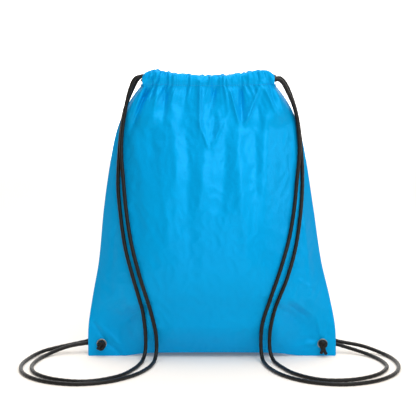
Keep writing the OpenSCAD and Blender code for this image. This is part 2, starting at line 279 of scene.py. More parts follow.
def two_sided(
    name: str,
    sides: tuple[Array, Array],
    outward: Array,
    flat: Array,
    finish: Material,
    skins: Sequence[Array],
    rims: Sequence[Array],
) -> Object:
    """Makes a closed wall of cloth: smooth over its two skins, flat on its rims.

    Args:
        name: the piece's name.
        sides: grids of points of the outer and the inner face.
        outward: unit normals of the outer face.
        flat: places in the cut cloth, in millimetres.
        finish: the cloth's material.
        skins: faces of the outer and the inner side.
        rims: faces that join them.

    Returns:
        The object.
    """
    points = np.concatenate([side.reshape(-1, 3) for side in sides])
    place = np.tile(flat.reshape(-1, 2), (2, 1)) * MM
    faces = np.concatenate([*skins, *rims])
    corner = np.concatenate([outward.reshape(-1, 3), -outward.reshape(-1, 3)])[faces]
    start = sum(map(len, skins))
    quads = points[faces[start:]]
    rim_normal = unit(np.cross(quads[:, 2] - quads[:, 0], quads[:, 3] - quads[:, 1]))
    corner[start:] = rim_normal[:, None, :]
    uv, normals = place[faces.ravel()], corner.reshape(-1, 3)
    return mesh_piece(name, points, faces.tolist(), finish, uv, normals)


def shell(
    name: str, outer: Array, inner: Array, outward: Array, flat: Array, finish: Material
) -> Object:
    """Makes a closed sheet of cloth from an outer and an inner grid.

    Args:
        name: the piece's name.
        outer: rows x columns x 3 points of the outer face, seen with columns to the right.
        inner: the same grid on the inner face.
        outward: unit normals of the outer face.
        flat: rows x columns x 2 places in the cut cloth, in millimetres.
        finish: the cloth's material.

    Returns:
        The object.
    """
    rows, columns = outer.shape[:2]
    front = grid_quads(rows, columns)
    back = front[:, [0, 3, 2, 1]] + rows * columns
    number = np.arange(2 * rows * columns).reshape(2, rows, columns)
    rims = []
    for edge in (number[:, 0, ::-1], number[:, ::-1, -1], number[:, -1, :], number[:, :, 0]):
        rims.append(np.stack([edge[0, :-1], edge[0, 1:], edge[1, 1:], edge[1, :-1]], -1))
    return two_sided(name, (outer, inner), outward, flat, finish, (front, back), rims)


def ring_frames(line: Array) -> tuple[Array, Array]:
    """Two directions across a line at each of its points, turning as little as they can.

    Args:
        line: the points.

    Returns:
        The two unit directions, one row a point.
    """
    tangent = unit(np.gradient(line, axis=0))
    start = np.array([0.0, 0.0, 1.0]) if abs(tangent[0][2]) < 0.9 else np.array([0.0, 1.0, 0.0])
    first = [unit(np.cross(tangent[0], start))]
    for t in tangent[1:]:
        first.append(unit(first[-1] - t * (first[-1] @ t)))
    a = np.array(first)
    return a, np.cross(tangent, a)


def tube(
    line: Array, radius: Array, sides: int, groove: Callable[..., Array] | None
) -> tuple[Array, list[list[int]], Array]:
    """Vertices, faces and UVs of a closed tube along a line.

    Args:
        line: the middle line's points.
        radius: the radius at each point.
        sides: corners of a ring.
        groove: gives the radius's change from (share round, millimetres along), or None.

    Returns:
        The vertices, the faces and one UV place a face corner.
    """
    a, b = ring_frames(line)
    s = along(line)
    turn = np.arange(sides) / sides
    angle = turn * math.tau
    size = np.repeat(np.asarray(radius, float)[:, None], sides, 1)
    if groove is not None:
        size = size + groove(turn[None, :], s[:, None])
    ring = (
        line[:, None, :]
        + size[..., None] * np.cos(angle)[None, :, None] * a[:, None, :]
        + size[..., None] * np.sin(angle)[None, :, None] * b[:, None, :]
    )
    count = len(line)
    points = np.concatenate([ring.reshape(-1, 3), line[:1], line[-1:]])
    i, k = np.meshgrid(np.arange(count - 1), np.arange(sides), indexing="ij")
    here, beside = i * sides + k, i * sides + (k + 1) % sides
    skin = np.stack([here, beside, beside + sides, here + sides], -1).reshape(-1, 4)
    u0, u1, v0, v1 = k / sides, (k + 1) / sides, s[i] * MM, s[i + 1] * MM
    places = np.stack([u0, v0, u1, v0, u1, v1, u0, v1], -1).reshape(-1, 4, 2)
    faces, uv = skin.tolist(), [places.reshape(-1, 2)]
    first, last = count * sides, count * sides + 1
    for k in range(sides):
        n = (k + 1) % sides
        faces.append([first, n, k])
        faces.append([last, (count - 1) * sides + k, (count - 1) * sides + n])
        uv.append(np.array([[0, 0], [n / sides, 0], [k / sides, 0]]))
        uv.append(np.array([[0, s[-1] * MM], [k / sides, s[-1] * MM], [n / sides, s[-1] * MM]]))
    return points, faces, np.concatenate(uv)


def joined(
    name: str, parts: Sequence[tuple[Array, list[list[int]], Array]], finish: Material
) -> Object:
    """One mesh object out of several vertex, face and UV sets."""
    points, faces, uv, start = [], [], [], 0
    for p, f, places in parts:
        points.append(p)
        faces += [[start + n for n in face] for face in f]
        uv.append(places)
        start += len(p)
    return mesh_piece(name, np.concatenate(points), faces, finish, np.concatenate(uv))


def lathe(
    profile: Points, centre: Sequence[float], sides: int
) -> tuple[Array, list[list[int]], Array]:
    """A closed ring turned about an axis along Y.

    Args:
        profile: [radius, y] points of the closed section, in order.
        centre: the axis's [x, z] place and the y that the profile counts from.
        sides: corners of the turned ring.

    Returns:
        The vertices, the faces and one UV place a face corner.
    """
    section = np.array(profile, float)
    x, y, z = centre
    angle = np.arange(sides) / sides * math.tau
    points = np.stack(
        [
            x + section[:, 0][None, :] * np.cos(angle)[:, None],
            y + np.repeat(section[:, 1][None, :], sides, 0),
            z + section[:, 0][None, :] * np.sin(angle)[:, None],
        ],
        -1,
    ).reshape(-1, 3)
    count = len(section)
    faces = []
    for i in range(sides):
        for k in range(count):
            j, n = (i + 1) % sides, (k + 1) % count
            faces.append([i * count + k, i * count + n, j * count + n, j * count + k])
    p = points[np.array(faces)]
    volume = np.einsum("ij,ij->i", p[:, 0], np.cross(p[:, 1], p[:, 2])).sum()
    volume += np.einsum("ij,ij->i", p[:, 0], np.cross(p[:, 2], p[:, 3])).sum()
    if volume < 0:
        faces = [f[::-1] for f in faces]
    return points, faces, np.zeros((4 * len(faces), 2))


# ---------------------------------------------------------------- finishes


def linear(hex_colour: str) -> tuple[float, float, float, float]:
    """Turns an sRGB hex colour to the linear colour that the nodes use."""
    parts = [int(hex_colour[i : i + 2], 16) / 255 for i in (1, 3, 5)]
    red, green, blue = [c / 12.92 if c <= 0.04045 else ((c + 0.055) / 1.055) ** 2.4 for c in parts]
    return red, green, blue, 1.0


def wire(
    node: Node,
    values: dict[Any, Any] | None = None,
    links: dict[Any, bpy.types.NodeSocket] | None = None,
) -> None:
    """Sets a node's socket values and joins output sockets to its inputs, by name or number."""
    for key, value in (values or {}).items():
        node.inputs[key].default_value = value
    for key, socket in (links or {}).items():
        node.id_data.links.new(socket, node.inputs[key])


def add_node(
    tree: bpy.types.NodeTree,
    kind: str,
    values: dict[Any, Any] | None = None,
    links: dict[Any, bpy.types.NodeSocket] | None = None,
    **settings: Any,
) -> Node:
    """Adds one node with its settings, socket values and links.

    Args:
        tree: the node tree.
        kind: the node's type.
        values: constants for its input sockets, by name or number.
        links: output sockets to join to its inputs, by name or number.
        settings: properties of the node.

    Returns:
        The node.
    """
    node = tree.nodes.new(kind)
    for key, value in settings.items():
        setattr(node, key, value)
    wire(node, values, links)
    return node


def new_material(name: str) -> tuple[Material, Callable[..., Node], Node]:
    """Starts a material with one Principled shader.

    Args:
        name: the real finish.

    Returns:
        The material, add_node on its tree, and its shader node.
    """
    material = bpy.data.materials.new(name)
    material.use_nodes = True
    material.node_tree.nodes.clear()
    add = partial(add_node, material.node_tree)
    shader = add("ShaderNodeBsdfPrincipled")
    add("ShaderNodeOutputMaterial", None, {"Surface": shader.outputs[0]})
    return material, add, shader


@dataclass(frozen=True)
class Taffeta:
    """Polyester taffeta, plain woven of bright yarn and coated inside.

    The eye sees a saturated cloth with a satin sheen that breaks up over small crinkles. The
    real yarns lie 0.3 mm apart, too fine to show, so they are drawn at yarn_mm.
    """

    name: str = "polyester_taffeta"
    shade: str = "#0093D2"
    light: str = "#00A0DE"
    sheen: str = "#2CB2F2"
    yarn_mm: float = 0.8
    roughness: float = 0.4
    crinkle_mm: float = 9.0

    def make(self) -> Material:
        """Builds the material."""
        material, add, shader = new_material(self.name)
        place = add("ShaderNodeTexCoord").outputs
        patches = add(
            "ShaderNodeTexNoise", {"Scale": 9.0, "Detail": 3.0, "Roughness": 0.55},
            {"Vector": place["Object"]},
        )
        colour = add(
            "ShaderNodeMix", {6: linear(self.shade), 7: linear(self.light)},
            {0: patches.outputs["Fac"]}, data_type="RGBA",
        )
        waves = [
            add(
                "ShaderNodeTexWave", {"Scale": math.tau / 20 / (self.yarn_mm * MM)},
                {"Vector": place["UV"]}, bands_direction=direction,
            )
            for direction in ("X", "Y")
        ]
        woven = add(
            "ShaderNodeMath", None, {i: wave.outputs["Fac"] for i, wave in enumerate(waves)},
            operation="MULTIPLY",
        )
        crinkle = add(
            "ShaderNodeTexNoise",
            {"Scale": 1 / (self.crinkle_mm * MM), "Detail": 4.0, "Roughness": 0.6},
            {"Vector": place["Object"]},
        )
        soft = add(
            "ShaderNodeBump", {"Strength": 0.28, "Distance": 0.0012},
            {"Height": crinkle.outputs["Fac"]},
        )
        fine = add(
            "ShaderNodeBump", {"Strength": 0.25, "Distance": 0.00008},
            {"Height": woven.outputs[0], "Normal": soft.outputs[0]},
        )
        gloss = add(
            "ShaderNodeMapRange",
            {"To Min": self.roughness - 0.06, "To Max": self.roughness + 0.1},
            {"Value": crinkle.outputs["Fac"]},
        )
        looks = {
            "IOR": 1.5, "Specular IOR Level": 0.45, "Metallic": 0.2, "Coat Weight": 0.06,
            "Coat Roughness": 0.26, "Specular Tint": linear(self.sheen),
        }
        wire(shader, looks, {
            "Base Color": colour.outputs[2], "Roughness": gloss.outputs[0],
            "Normal": fine.outputs[0],
        })
        return material


@dataclass(frozen=True)
class BraidedCord:
    """Round braided polyester cord, black, with a painted highlight: a lighter colour on the crest
    of each carrier's diamond and plain black in the grooves between.
    """

    name: str = "braided_polyester_cord"
    dark: str = "#040404"
    # Painted highlight colour, laid on the crests of the braid
    light: str = "#15120F"
    carriers: int = 6
    lay_mm: float = 15.0
    depth_mm: float = 0.16

    def pattern(self, turn: Array, length: Array) -> Array:
        """Rise of the braid's surface at a share round and a length along, in millimetres."""
        right = np.cos(math.tau * (self.carriers * turn + length / self.lay_mm * self.carriers))
        left = np.cos(math.tau * (self.carriers * turn - length / self.lay_mm * self.carriers))
        return self.depth_mm * right * left

    def make(self) -> Material:
        """Builds the material."""
        material, add, shader = new_material(self.name)
        place = add("ShaderNodeTexCoord").outputs
        split = add("ShaderNodeSeparateXYZ", None, {0: place["UV"]}).outputs
        waves = []
        for hand in (1, -1):
            length = add(
                "ShaderNodeMath", {1: hand * math.tau * self.carriers / (self.lay_mm * MM)},
                {0: split["Y"]}, operation="MULTIPLY",
            )
            both = add(
                "ShaderNodeMath", {1: math.tau * self.carriers},
                {0: split["X"], 2: length.outputs[0]}, operation="MULTIPLY_ADD",
            )
            waves.append(add("ShaderNodeMath", None, {0: both.outputs[0]}, operation="COSINE"))
        # Mask of the braid's crests, where the painted highlight goes; it follows the pattern by
        # which the tube's surface rises
        braid = add(
            "ShaderNodeMath", None, {i: wave.outputs[0] for i, wave in enumerate(waves)},
            operation="MULTIPLY",
        )
        share = add(
            "ShaderNodeMapRange", {"From Min": -1.0, "From Max": 1.0}, {"Value": braid.outputs[0]}
        )
        fibre = add(
            "ShaderNodeTexNoise", {"Scale": 900.0, "Detail": 2.0}, {"Vector": place["Object"]}
        )
        # Painted highlight: the lighter colour on the braid's crests, the black in its grooves
        colour = add(
            "ShaderNodeMix", {6: linear(self.dark), 7: linear(self.light)},
            {0: share.outputs[0]}, data_type="RGBA",
        )
        bump = add(
            "ShaderNodeBump", {"Strength": 0.5, "Distance": 0.0002},
            {"Height": fibre.outputs["Fac"]},
        )
        looks = {
            "Roughness": 0.46, "Specular IOR Level": 0.28, "Sheen Weight": 0.03,
            "Sheen Roughness": 0.4,
        }
        wire(shader, looks, {"Base Color": colour.outputs[2], "Normal": bump.outputs[0]})
        return material


@dataclass(frozen=True)
class NickelPlate:
    """Nickel-plated steel, stamped and rolled: bright, with fine marks from the setting tool."""

    name: str = "nickel_plated_steel"
    colour: str = "#A19D97"
    roughness: float = 0.3

    def make(self) -> Material:
        """Builds the material."""
        material, add, shader = new_material(self.name)
        place = add("ShaderNodeTexCoord").outputs
        marks = add(
            "ShaderNodeTexNoise", {"Scale": 700.0, "Detail": 3.0}, {"Vector": place["Object"]}
        )
        dull = add(
            "ShaderNodeMapRange",
            {"To Min": self.roughness - 0.06, "To Max": self.roughness + 0.14},
            {"Value": marks.outputs["Fac"]},
        )
        looks = {"Base Color": linear(self.colour), "Metallic": 1.0}
        wire(shader, looks, {"Roughness": dull.outputs[0]})
        return material


@dataclass(frozen=True)
class SewingThread:
    """Spun polyester thread in the cloth's colour: matt, a shade darker than the cloth."""

    name: str = "spun_polyester_thread"
    shade: str = "#0784C4"
    light: str = "#1492D0"

    def make(self) -> Material:
        """Builds the material."""
        material, add, shader = new_material(self.name)
        place = add("ShaderNodeTexCoord").outputs
        fluff = add(
            "ShaderNodeTexNoise", {"Scale": 1500.0, "Detail": 2.0}, {"Vector": place["Object"]}
        )
        colour = add(
            "ShaderNodeMix", {6: linear(self.shade), 7: linear(self.light)},
            {0: fluff.outputs["Fac"]}, data_type="RGBA",
        )
        wire(shader, {"Roughness": 0.7}, {"Base Color": colour.outputs[2]})
        return material


# ---------------------------------------------------------------- the bag's form


@dataclass(frozen=True)
class BagForm:
    """The filled bag's outer form: near the CAD source's, with its lower edge lifted in front."""

    base_half: float = 169.0
    neck_half: float = 91.0
    mouth_half: float = 89.0
    body_h: float = 366.0
    lean: float = -5.0
    lean_height: float = 240.0
    cloth_t: float = 1.2
    seam_t: float = 0.8
    seam_lift: float = 7.4
    seam_reach: float = 8.0
    seam_forward: float = 36.8
    seam_upright: float = 45.0
    ear_size: float = 34.0
    ear_fade: float = 50.0
    front_bulge: float = 52.0
    back_bulge: float = 74.0
    neck_blend: float = 66.0
    heel_up: float = 90.0
    heel_fade: float = 150.0
    outline: Points = (
        (0, 1), (0.11, 0.985), (0.22, 0.90), (0.355, 0.77), (0.546, 0.66),
        (0.738, 0.525), (0.839, 0.42), (0.913, 0.28), (0.962, 0.14), (1, 0),
    )
    front_profile: Points = (
        (0, 0), (0.11, 0.40), (0.30, 0.92), (0.50, 1), (0.683, 0.86),
        (0.847, 0.56), (0.943, 0.32), (1, 0.20),
    )
    back_profile: Points = (
        (0.10, 0.90), (0.16, 0.97), (0.26, 1.02), (0.38, 1.04), (0.50, 1), (0.66, 0.82),
        (0.80, 0.54), (0.91, 0.30), (1, 0.16),
    )
    underside: Points = ((0, 7.4), (0.25, 2.0), (0.80, -4), (0.94, 9))
    upper_rows: int = 14
    seam_curve: float = 1.3
    reach_fade: float = 80.0
    lift_fade: float = 60.0
    lowest: float = 0.35

    @property
    def rows(self) -> Array:
        """Heights of the CAD panel's rows of points."""
        low = [0, self.ear_size / 2, self.ear_size]
        return np.array([*low, *np.linspace(self.seam_upright, self.body_h, self.upper_rows)])

    def half_width(self, z: Array) -> Array:
        """Half the bag's width at height z."""
        return mix(self.neck_half, self.base_half, curve_at(self.outline, z / self.body_h))

    def lean_x(self, z: Array) -> Array:
        """Sideways place of the bag's middle at height z."""
        return self.lean * ease(z / self.lean_height)

    def seam_y(self, z: Array) -> Array:
        """Depth of the side seams at height z."""
        up = np.maximum(0, z - self.seam_upright) / (self.body_h - self.seam_upright)
        return -self.seam_forward * np.clip(1 - up, 0, 1) ** self.seam_curve

    def ear_share(self, u: Array, z: Array) -> Array:
        """0 on the flat corner ears and 1 on the filled body."""
        reach = np.maximum((1 - np.abs(u)) * self.half_width(z), z)
        return ease((reach - self.ear_size) / self.ear_fade)

    def fullness(self, u: Array, z: Array) -> Array:
        """How full the bag is, from 0 at a seam to 1."""
        power = mix(3.0, 40.0, ease((z - self.body_h + self.neck_blend) / self.neck_blend) ** 2)
        return (1 - np.minimum(1, np.abs(u)) ** power) * self.ear_share(u, z)

    def front_middle_y(self, z: Array) -> Array:
        """Depth of the front cloth's outer face at its middle."""
        bulge = self.front_bulge * curve_at(self.front_profile, z / self.body_h)
        reach = self.seam_reach * (1 - ease(z / self.reach_fade))
        return self.seam_y(z) - self.cloth_t - bulge - reach

    def front(self, u: Array, z: Array) -> Array:
        """Points of the front cloth's outer face at share u of the half width."""
        full = self.fullness(u, z)
        x = u * self.half_width(z) + self.lean_x(z)
        y = mix(self.seam_y(z) - self.cloth_t, self.front_middle_y(z), full)
        return np.stack([x, y, z + self.seam_lift * full * (1 - ease(z / self.lift_fade))], -1)

    def back_middle_y(self, z: Array) -> Array:
        """Depth of the back cloth's outer face at its middle, above the heel."""
        side = self.seam_y(z) + self.seam_t + self.cloth_t
        return side + self.back_bulge * curve_at(self.back_profile, z / self.body_h)

    def back(self, u: Array, row: Array) -> Array:
        """Points of the back cloth's outer face at share u and row number row."""
        rows = self.rows
        z = between(rows, row)
        bottom_y = float(self.front_middle_y(np.array(0.0))) + self.cloth_t + self.seam_t
        heel_y = float(self.back_middle_y(np.array(self.heel_up)))
        drop = self.seam_upright - self.underside[3][1]
        sunk = rows - drop * (1 - ease((rows - self.seam_upright) / self.heel_fade))
        middle = np.stack([self.back_middle_y(rows), sunk], 1)
        for i, (share, height) in enumerate(self.underside):
            middle[i] = [mix(bottom_y, heel_y, share), height]
        middle_y, middle_z = between(middle[:, 0], row), between(middle[:, 1], row)
        full = self.fullness(u, z)
        flat_full = (1 - np.abs(u) ** 5) * self.ear_share(u, z)
        full_z = mix(flat_full, full, ease((row - 2.2) / 0.8))
        x = u * self.half_width(z) + self.lean_x(z)
        y = mix(self.seam_y(z) + self.seam_t + self.cloth_t, middle_y, full)
        return np.stack([x, y, np.maximum(self.lowest, mix(z, middle_z, full_z))], -1)


@dataclass(frozen=True)
class Fold:
    """A soft fold along a straight line on one side of the bag, in x and z.

    rise is positive for a ridge. It fades in over the share head and out over the share tail.
    A fold that starts wide has a round crest, and a narrow one is a crease.
    """

    start: tuple[float, float]
    end: tuple[float, float]
    width: tuple[float, float]
    rise: float
    head: float
    tail: float
    crease_width: ClassVar[float] = 6.5
    crease_blunt: ClassVar[float] = 0.3
    round_blunt: ClassVar[float] = 0.9

    def height(self, x: Array, z: Array) -> Array:
        """Rise of the fold at the places x, z."""
        sx, sz = self.start
        dx, dz = self.end[0] - sx, self.end[1] - sz
        length = math.hypot(dx, dz)
        t = ((x - sx) * dx + (z - sz) * dz) / length**2
        off = ((x - sx) * dz - (z - sz) * dx) / length
        width = mix(self.width[0], self.width[1], np.clip(t, 0, 1))
        strength = ease(t / self.head) * ease((1 - t) / self.tail)
        narrow = self.width[0] < self.crease_width
        blunt = self.crease_blunt if narrow else self.round_blunt
        crest = np.exp(blunt - np.sqrt((off / width) ** 2 * 2.2 + blunt**2))
        return self.rise * strength * crest


FRONT_FOLDS = [Fold(*row) for row in (
    # Sharp pleats that run down out of the hem
    ((-61.5, 390), (-67, 300), (3.2, 8.0), -6.5, 0.02, 0.8),
    ((-71.0, 390), (-82, 290), (4.5, 9.0), 3.6, 0.02, 0.8),
    ((-83, 378), (-116, 288), (2.8, 6.5), -8.0, 0.06, 0.55),
    ((-79, 372), (-97, 338), (2.0, 3.6), -4.0, 0.1, 0.6),
    ((-83, 391), (-111, 330), (1.8, 3.2), -4.6, 0.02, 0.6),
    ((-77, 388), (-103, 336), (1.8, 3.2), 2.6, 0.02, 0.6),
    ((-88, 384), (-108, 322), (2.0, 4.0), 2.2, 0.02, 0.5),
    ((-51, 388), (-56, 318), (3.0, 7.0), 2.4, 0.02, 0.8),
    ((-33, 388), (-38, 326), (2.2, 5.0), -2.4, 0.02, 0.7),
    ((9.5, 388), (-7, 316), (3.2, 7.0), -6.0, 0.02, 0.7),
    ((0, 388), (-12, 338), (2.0, 4.0), 2.4, 0.02, 0.6),
    ((22, 388), (18, 330), (3.0, 6.0), 2.4, 0.02, 0.7),
    ((38, 390), (41, 304), (2.8, 5.5), -5.5, 0.02, 0.5),
    ((72, 390), (88, 330), (2.2, 4.0), -3.0, 0.02, 0.6),
    ((79, 388), (101, 318), (2.4, 5.0), 2.6, 0.02, 0.6),
    ((-16, 380), (-17, 288), (3.6, 6.0), 4.0, 0.08, 0.5),
    ((-19, 324), (-3.5, 281), (3.4, 3.0), 2.2, 0.3, 0.3),
    ((18, 328), (-3.0, 281), (4.2, 3.4), 2.2, 0.25, 0.3),
    ((4, 334), (-1, 294), (5.0, 3.6), -2.0, 0.3, 0.3),
    ((24, 366), (38, 310), (3.4, 3.4), 3.8, 0.12, 0.35),
    ((66, 372), (41, 309), (5.0, 3.2), 4.6, 0.1, 0.3),
    ((67, 376), (95, 312), (3.6, 6.0), 3.6, 0.1, 0.5),
    ((56, 366), (70, 296), (6.0, 9.0), -2.6, 0.1, 0.6),
    # Short creases between the hem's gathers
    ((-74.5, 393), (-95, 344), (1.6, 3.0), -5.0, 0.02, 0.5),
    ((-66.5, 390), (-88, 340), (1.6, 3.0), -5.0, 0.02, 0.5),
    ((-31, 384), (-32, 366), (1.4, 1.6), -1.6, 0.2, 0.4),
    ((-19, 390), (-15, 370), (1.4, 1.8), -2.0, 0.02, 0.4),
    ((-6, 391), (-5, 373), (1.3, 1.6), -2.0, 0.02, 0.4),
    ((3, 391), (4.5, 376), (1.3, 1.6), -1.8, 0.02, 0.4),
    ((19, 391), (24, 367), (1.4, 2.0), -2.2, 0.02, 0.4),
    ((28, 391), (35, 369), (1.3, 2.0), -2.0, 0.02, 0.4),
    ((41, 392), (44, 372), (1.3, 1.8), -2.0, 0.02, 0.4),
    ((50, 392), (52, 378), (1.3, 1.6), -1.8, 0.02, 0.4),
    ((58, 393), (64, 372), (1.4, 1.8), -2.0, 0.02, 0.4),
    ((67, 393), (76, 368), (1.4, 2.0), -2.2, 0.02, 0.4),
    ((78, 391), (87, 362), (1.4, 2.2), -2.4, 0.02, 0.4),
    # Long soft folds of the hanging cloth
    ((-35, 362), (-27, 105), (9.0, 18.0), -3.0, 0.45, 0.55),
    ((-54, 372), (-46, 140), (8.0, 13.0), 2.0, 0.45, 0.5),
    ((-9, 300), (-20, 170), (7.0, 11.0), 2.0, 0.4, 0.55),
    ((24, 340), (8, 165), (8.0, 13.0), -2.6, 0.45, 0.5),
    ((31, 350), (50, 62), (7.0, 13.0), 2.8, 0.35, 0.5),
    ((76, 366), (66, 140), (7.0, 11.0), 2.2, 0.3, 0.5),
    ((59, 350), (56, 145), (7.0, 11.0), -2.0, 0.4, 0.55),
    ((97, 340), (92, 170), (7.0, 11.0), -2.2, 0.4, 0.55),
    ((-88, 350), (-64, 165), (6.5, 12.0), -1.9, 0.4, 0.6),
    ((-104, 330), (-112, 165), (6.5, 11.0), 2.0, 0.4, 0.6),
    ((121, 230), (136, 66), (5.0, 8.0), 3.2, 0.3, 0.5),
    ((104, 220), (108, 56), (6.0, 10.0), -2.2, 0.4, 0.5),
    ((-128, 220), (-140, 66), (6.0, 10.0), -2.0, 0.4, 0.5),
)]
CORNER_FOLDS = [Fold(*row) for row in (
    # Creases over the corner patches, and the pull of the knots
    ((-164, 50), (-143.5, 17.5), (2.4, 2.0), -2.1, 0.15, 0.15),
    ((-146, 20), (-124, 2), (2.0, 2.4), -2.0, 0.15, 0.15),
    ((-159, 49), (-121, 10), (3.0, 3.2), 1.7, 0.2, 0.2),
    ((143, 18), (105, 13), (2.0, 4.0), 1.7, 0.1, 0.7),
    ((143, 23), (112, 26), (2.0, 4.0), -1.3, 0.1, 0.7),
    ((150, 25), (137, 74), (2.4, 6.0), 1.7, 0.1, 0.7),
    ((98, 92), (142, 54), (2.6, 3.4), 1.8, 0.3, 0.4),
    ((96, 82), (134, 50), (2.6, 3.4), -1.6, 0.3, 0.4),
    ((112, 112), (150, 84), (2.4, 3.0), 1.5, 0.3, 0.5),
    ((-112, 88), (-146, 60), (2.6, 3.4), -1.5, 0.3, 0.5),
    ((156, 25), (158, 70), (2.4, 5.0), -1.3, 0.1, 0.7),
)]
BACK_FOLDS = [Fold(*row) for row in (
    ((-70, 390), (-84, 285), (3.0, 9.0), -5.0, 0.02, 0.7),
    ((-58, 390), (-64, 270), (3.4, 9.0), 3.4, 0.02, 0.7),
    ((-36, 390), (-44, 300), (2.8, 8.0), -4.4, 0.02, 0.6),
    ((-14, 390), (-16, 270), (3.4, 9.0), 3.6, 0.02, 0.7),
    ((2, 390), (4, 296), (2.6, 8.0), -5.0, 0.02, 0.6),
    ((24, 390), (30, 282), (3.0, 8.0), 3.2, 0.02, 0.7),
    ((43, 390), (54, 300), (2.6, 7.0), -4.6, 0.02, 0.6),
    ((62, 390), (86, 290), (3.0, 8.0), -4.0, 0.02, 0.6),
    ((76, 388), (106, 300), (2.6, 6.0), 3.0, 0.02, 0.6),
    ((-82, 388), (-112, 300), (2.6, 6.0), 3.0, 0.02, 0.6),
    ((-26, 330), (-40, 120), (8.0, 16.0), 4.4, 0.2, 0.6),
    ((14, 320), (22, 105), (8.0, 15.0), -4.2, 0.2, 0.6),
    ((48, 330), (70, 150), (8.0, 14.0), 3.8, 0.2, 0.6),
    ((-74, 320), (-92, 130), (8.0, 14.0), -3.8, 0.2, 0.6),
    ((96, 290), (112, 130), (8.0, 12.0), -3.0, 0.2, 0.6),
)]


# The hem holds its cords from this height up, where folds stay shallow
HEM_FOOT, HEM_FADE = 357, 13
RIDGE_MOST, VALLEY_MOST = (1.9, 2.2), (2.4, 2.8)


def fold_rise(face: Face, x: Array, z: Array) -> Array:
    """Rise of one side's large folds, kept clear of the cords inside the hem.

    Args:
        face: front or back.
        x: places across the bag.
        z: heights.

    Returns:
        The rise outwards.
    """
    folds = FRONT_FOLDS if face is Face.FRONT else BACK_FOLDS
    rise = sum(f.height(x, z) for f in folds)
    ridge, valley = (most * np.tanh(rise / scale) for most, scale in (RIDGE_MOST, VALLEY_MOST))
    return mix(rise, np.where(rise > 0, ridge, valley), ease((z - HEM_FOOT) / HEM_FADE))


@dataclass
class Gathers:
    """Small pleats where the drawn cords gather the hem.

    Each pleat keeps its place between the two side seams all the way down, so it fans out.
    """

    seed: int
    half: float = 89.0
    pitch: tuple[float, float] = (3.2, 9.0)
    rise: tuple[float, float] = (0.2, 1.6)
    pleats: Array = field(init=False)

    def __post_init__(self) -> None:
        """Draws each pleat's place, rise, width and length."""
        dice = np.random.default_rng(self.seed)
        x, found = -self.half + 4, []
        while x < self.half - 4:
            step = dice.uniform(*self.pitch)
            found.append((x, dice.uniform(*self.rise), 0.3 * step, 14 + 56 * dice.random() ** 2))
            x += step
        self.pleats = np.array(found)

    def height(self, share: Array, below: Array) -> Array:
        """Rise of the gathered cloth.

        Args:
            share: place across the mouth, from -1 to 1.
            below: distance below the hem's stitch line, 0 or more.

        Returns:
            The rise, with a mean near 0.
        """
        total = np.zeros(np.broadcast(share, below).shape)
        for x, rise, width, length in self.pleats:
            spread = 1 + below / 34
            off = (share * self.half - x) * (1 + below / 250) / (width * spread)
            total = total + rise * np.exp(-((below / length) ** 1.6)) * np.exp(-(off**2))
        fade = np.exp(-((below / 26) ** 1.6))
        return total - 0.4 * float(self.pleats[:, 1].mean()) * fade


# ---------------------------------------------------------------- the cloth body


def neck_blend(piece: Object, face: Face, side: Side) -> Object:
    """Bakes the piece's place into its mesh, which then stands at the origin.

    Args:
        piece: the mesh.
        face: not used.
        side: not used.

    Returns:
        The same object.
    """
    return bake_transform(piece)


def doubled(grid: Array) -> Array:
    """A grid with a smooth new point between every two neighbours, both ways."""
    for axis in (0, 1):
        g = np.moveaxis(grid, axis, 0)
        padded = np.concatenate([2 * g[:1] - g[1:2], g, 2 * g[-1:] - g[-2:-1]])
        halfway = (9 * (padded[1:-2] + padded[2:-1]) - padded[:-3] - padded[3:]) / 16
        out = np.empty((2 * len(g) - 1, *g.shape[1:]))
        out[::2], out[1::2] = g, halfway
        grid = np.moveaxis(out, 0, axis)
    return grid


